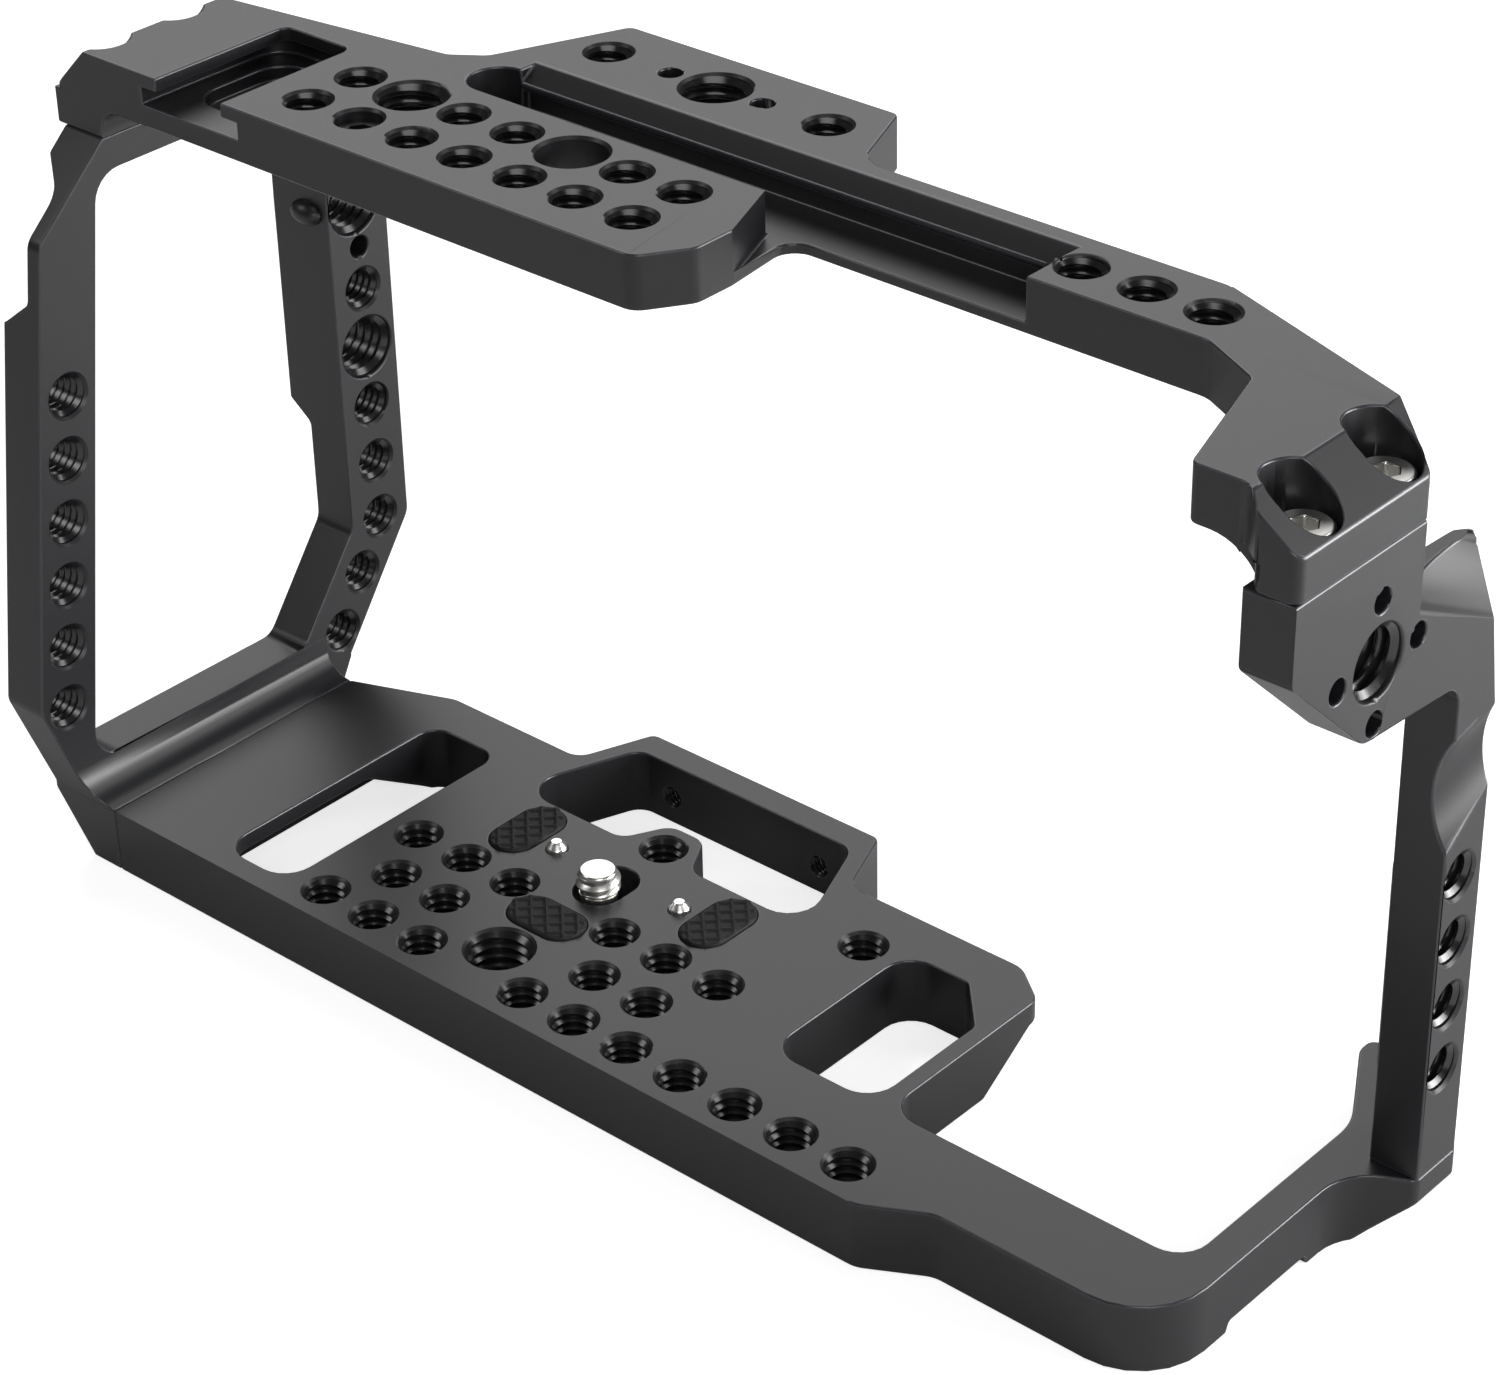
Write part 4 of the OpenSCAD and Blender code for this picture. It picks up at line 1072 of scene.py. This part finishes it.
@dataclass
class WafflePads:
    """Geometry nodes that make the crosshatched rubber pads.

    Attributes:
        pitch: Distance between the ribs.
        rib: Half the width of a rib's foot.
        relief: Height of the ribs.
        cells: Points of the sheet across and along the pad.
        overhang: Size of the sheet against the pad; what is past the pad is its wall.
        wall_steepness: How fast the wall falls past the outline.
        end_share: Half width that is left at the pad's ends, in radii.
        edge_share: Width of the rounded edge, in ribs.
        smooth_deg: Largest angle that is shaded smooth.
        name: Name of the node tree.
    """

    pitch: float = 2.1 * MM
    rib: float = 0.45 * MM
    relief: float = 0.28 * MM
    cells: tuple[int, int] = (90, 150)
    overhang: float = 1.05
    wall_steepness: float = 22.0
    end_share: float = 0.12
    edge_share: float = 1.5
    smooth_deg: float = 50.0
    name: str = "waffle_pad"

    def tree(self) -> bpy.types.NodeTree:
        """Builds the node tree, or returns it if it is already built.

        Returns:
            The geometry node tree, with named inputs for its sizes.
        """
        found = bpy.data.node_groups.get(self.name)
        if found:
            return found
        t = CopyTree(self.name, ("Width", "Length", "Top", "Foot", "Pitch", "Rib", "Relief"))
        given = t.given
        m = t.maths

        def clamped(value: bpy.types.NodeSocket) -> bpy.types.NodeSocket:
            """Keeps a share between minus one and one."""
            return m("MAXIMUM", m("MINIMUM", value, 1.0), -1.0)

        sheet = t.add("GeometryNodeMeshGrid", {
            "Size X": 2.0, "Size Y": 2.0, "Vertices X": self.cells[0], "Vertices Y": self.cells[1]})
        where = t.position()
        # Past the outline the sheet turns down as the pad's wall
        wide, long = (m("MULTIPLY", where[k], self.overhang) for k in ("X", "Y"))
        past_rim = m("SUBTRACT", m("MAXIMUM", m("ABSOLUTE", wide), m("ABSOLUTE", long)), 1.0)
        drop = m("MINIMUM", m("MAXIMUM", m("MULTIPLY", past_rim, self.wall_steepness), 0.0), 1.0)
        # The outline is straight along its sides and round at its ends
        radius, half = m("MULTIPLY", given["Width"], 0.5), m("MULTIPLY", given["Length"], 0.5)
        y = m("MULTIPLY", clamped(long), half)
        past = m("MAXIMUM", m("SUBTRACT", m("ABSOLUTE", y), m("SUBTRACT", half, radius)), 0.0)
        square = m("SUBTRACT", m("MULTIPLY", radius, radius), m("MULTIPLY", past, past))
        reach = m("MAXIMUM", m("SQRT", m("MAXIMUM", square, 0.0)), m("MULTIPLY", radius, self.end_share))
        x = m("MULTIPLY", clamped(wide), reach)
        # Ribs run along both diagonals; the half keeps them centred, the fifty keeps the count positive
        ribs = []
        for operation in ("ADD", "SUBTRACT"):
            across = m("MULTIPLY", m(operation, x, y), math.sqrt(0.5))
            turn = m("FRACT", m("ADD", m("DIVIDE", across, given["Pitch"]), 50.5))
            far = m("MULTIPLY", m("ABSOLUTE", m("SUBTRACT", turn, 0.5)), given["Pitch"])
            ribs.append(m("MAXIMUM", m("SUBTRACT", 1.0, m("DIVIDE", far, given["Rib"])), 0.0))
        rise = m("MULTIPLY", m("MAXIMUM", *ribs), given["Relief"])
        inset = m("SUBTRACT", reach, m("ABSOLUTE", x))
        edge = m("MINIMUM", m("DIVIDE", inset, m("MULTIPLY", given["Rib"], self.edge_share)), 1.0)
        z = m("ADD", m("SUBTRACT", given["Top"], given["Relief"]), m("MULTIPLY", rise, edge))
        z = m("SUBTRACT", z, m("MULTIPLY", m("POWER", m("SUBTRACT", 1.0, edge), 2.0), given["Relief"]))
        z = m("ADD", m("MULTIPLY", z, m("SUBTRACT", 1.0, drop)), m("MULTIPLY", given["Foot"], drop))
        t.close(t.bent(sheet, x, y, z))
        return t.tree

    def build(self, node: str) -> None:
        """Builds the pad that stands for a solid.

        Args:
            node: Name of the solid.
        """
        (x0, y0, z0), (x1, y1, z1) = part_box(node)
        wide, long = sorted((x1 - x0, y1 - y0))
        mesh = grown(self.tree(), [Vector()], {
            "Width": wide, "Length": long, "Top": z1, "Foot": z0, "Pitch": self.pitch, "Rib": self.rib,
            "Relief": self.relief, "Finish": RUBBER.material()})
        turn = Matrix.Rotation(math.pi / 2 if x1 - x0 > y1 - y0 else 0.0, 4, "Z")
        mesh.transform(Matrix.Translation(((x0 + x1) / 2, (y0 + y1) / 2, 0)) @ turn)
        work = bmesh.new()
        work.from_mesh(mesh)
        rim = [edge for edge in work.edges if edge.is_boundary]
        bmesh.ops.holes_fill(work, edges=rim, sides=0)
        bmesh.ops.recalc_face_normals(work, faces=work.faces)
        work.to_mesh(mesh)
        work.free()
        settle(node + "_waffle", mesh, RUBBER, "cage", (node,), self.smooth_deg)


# ---------------------------------------------------------------- studio


@dataclass(frozen=True)
class Lamp:
    """A soft rectangular lamp.

    Attributes:
        name: Name of the lamp.
        place: Its place.
        size: Its width and height.
        power: Its power in watts.
    """

    name: str
    place: tuple[float, float, float]
    size: tuple[float, float]
    power: float

    def hang(self, aim: Vector) -> None:
        """Hangs the lamp.

        Args:
            aim: The point that it faces.
        """
        data = bpy.data.lights.new(self.name, "AREA")
        data.shape, data.energy = "RECTANGLE", self.power
        data.size, data.size_y = self.size
        lamp = placed(self.name, data)
        lamp.location = self.place
        lamp.rotation_euler = (Vector(self.place) - aim).to_track_quat("Z", "Y").to_euler()


LAMPS = (
    Lamp("far_softbox", (-0.74, 0.82, 0.85), (1.2, 0.9), 6.2),
    Lamp("near_right_fill", (0.9, -0.7, 0.6), (0.7, 0.6), 4.4),
    Lamp("right_far_fill", (0.9, 0.8, 0.25), (0.8, 0.45), 6.0),
    Lamp("right_close_fill", (0.55, 0.3, 0.12), (0.4, 0.3), 2.6),
    Lamp("overhead", (0.15, 0.0, 1.2), (0.5, 0.5), 1.5),
    Lamp("near_left_rim", (-0.80, -0.73, 0.88), (0.5, 0.5), 2.0),
    Lamp("right_far_rim", (0.73, 0.88, 0.80), (0.5, 0.5), 2.4),
)


@dataclass
class Studio:
    """Floor, surroundings, lamps and the camera at the photograph's angle.

    Attributes:
        eye: Place of the camera.
        azimuth: Its angle round the cage, from -Y toward +X, in degrees.
        elevation: Its angle over the horizon, in degrees.
        roll: Its turn about the line of sight, in degrees.
        lens: Focal length in millimetres.
        sensor: Width of the sensor in millimetres.
        clip: Nearest and farthest distance that it sees.
        floor_half: Half the floor's side.
        floor_tone: Reflectance of the floor.
        floor_glow: Light that the floor adds for the camera alone, as in a white photo table.
        sky_fill: Strength of the surroundings for anything but the camera, which sees white.
        lamp_aim: The point that the lamps face.
    """

    eye: tuple[float, float, float] = (323.32 * MM, -327.00 * MM, 314.08 * MM)
    azimuth: float = 41.98
    elevation: float = 31.506
    roll: float = -1.211
    lens: float = 95.90
    sensor: float = 36.0
    clip: tuple[float, float] = (0.01, 20.0)
    floor_half: float = 3.0
    floor_tone: float = 0.80
    floor_glow: float = 0.72
    sky_fill: float = 0.08
    lamp_aim: tuple[float, float, float] = (0.0, 0.0, 0.05)

    def camera(self) -> None:
        """Places the camera."""
        data = bpy.data.cameras.new("camera")
        data.lens, data.sensor_width, data.sensor_fit = self.lens, self.sensor, "HORIZONTAL"
        data.clip_start, data.clip_end = self.clip
        camera = placed("camera", data)
        a, e, r = (math.radians(v) for v in (self.azimuth, self.elevation, self.roll))
        back = Vector((math.sin(a) * math.cos(e), -math.cos(a) * math.cos(e), math.sin(e)))
        right = Vector((0, 0, 1)).cross(back).normalized()
        up = back.cross(right)
        axes = (right * math.cos(r) + up * math.sin(r), up * math.cos(r) - right * math.sin(r), back)
        camera.matrix_world = Matrix.Translation(self.eye) @ Matrix(axes).transposed().to_4x4()
        bpy.context.scene.camera = camera

    def floor(self) -> None:
        """Lays the pale floor under the cage."""
        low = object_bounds()[0][2]
        h = self.floor_half
        mesh = bpy.data.meshes.new("floor")
        mesh.from_pydata([(-h, -h, low), (h, -h, low), (h, h, low), (-h, h, low)], [], [(0, 1, 2, 3)])
        floor = placed("floor", mesh)
        material = bpy.data.materials.new("pale_floor")
        t = cleared(material)
        seen = t.add("ShaderNodeLightPath").outputs["Is Camera Ray"]
        matte = t.add("ShaderNodeBsdfDiffuse", {"Color": (*[self.floor_tone] * 3, 1.0)})
        glow = t.add("ShaderNodeEmission", {"Strength": t.maths("MULTIPLY", seen, self.floor_glow)})
        both = t.add("ShaderNodeAddShader", {0: matte.outputs[0], 1: glow.outputs[0]})
        t.add("ShaderNodeOutputMaterial", {"Surface": both.outputs[0]})
        mesh.materials.append(material)
        floor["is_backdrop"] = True

    def world(self) -> None:
        """Sets the plain surroundings."""
        world = bpy.data.worlds.new("surroundings")
        bpy.context.scene.world = world
        t = cleared(world)
        seen = t.add("ShaderNodeLightPath").outputs["Is Camera Ray"]
        sky = t.add("ShaderNodeBackground", {"Strength": t.maths("MAXIMUM", seen, self.sky_fill)})
        t.add("ShaderNodeOutputWorld", {"Surface": sky.outputs[0]})

    def build(self) -> None:
        """Builds the studio."""
        self.camera()
        self.floor()
        self.world()
        for lamp in LAMPS:
            lamp.hang(Vector(self.lamp_aim))
        bpy.context.scene.view_settings.view_transform = "Standard"


# ---------------------------------------------------------------- scene


PINS = ("locating_pin_left", "locating_pin_right")
PIN_RISE = 0.65
BRIGHT_FASTENERS = ("top_left_screw_near", "top_left_screw_far", "head_screw_near", "head_screw_far",
                    "post_foot_dowel")
BRIGHT_RIM = 0.25 * MM
BLACK_FASTENERS = ("left_foot_screw_near", "left_foot_screw_far", "post_foot_screw",
                   "hole_field_grub_screw")
PADS = ("rubber_pad_left", "rubber_pad_right", "rubber_pad_near")


def main() -> None:
    """Builds the pieces in order."""
    logging.basicConfig(level=logging.INFO, format="%(name)s %(message)s")
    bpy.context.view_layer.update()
    for part in (BottomPlate(), TopPlate(), LeftFrame(), RightPost()):
        part.build()
    CameraScrew().build()
    Fastener("camera_screw_washer", NYLON, "washer", "washer").build()
    for node in PINS:
        Fastener(node, NICKEL, rise_share=PIN_RISE).build()
    for node in BRIGHT_FASTENERS:
        Fastener(node, NICKEL, rounder=EdgeRounder(width=BRIGHT_RIM)).build()
    for node in BLACK_FASTENERS:
        Fastener(node, BLACK_STEEL, "black_steel").build()
    for node in PADS:
        WafflePads().build(node)
    Studio().build()


if __name__ == "__main__":
    main()
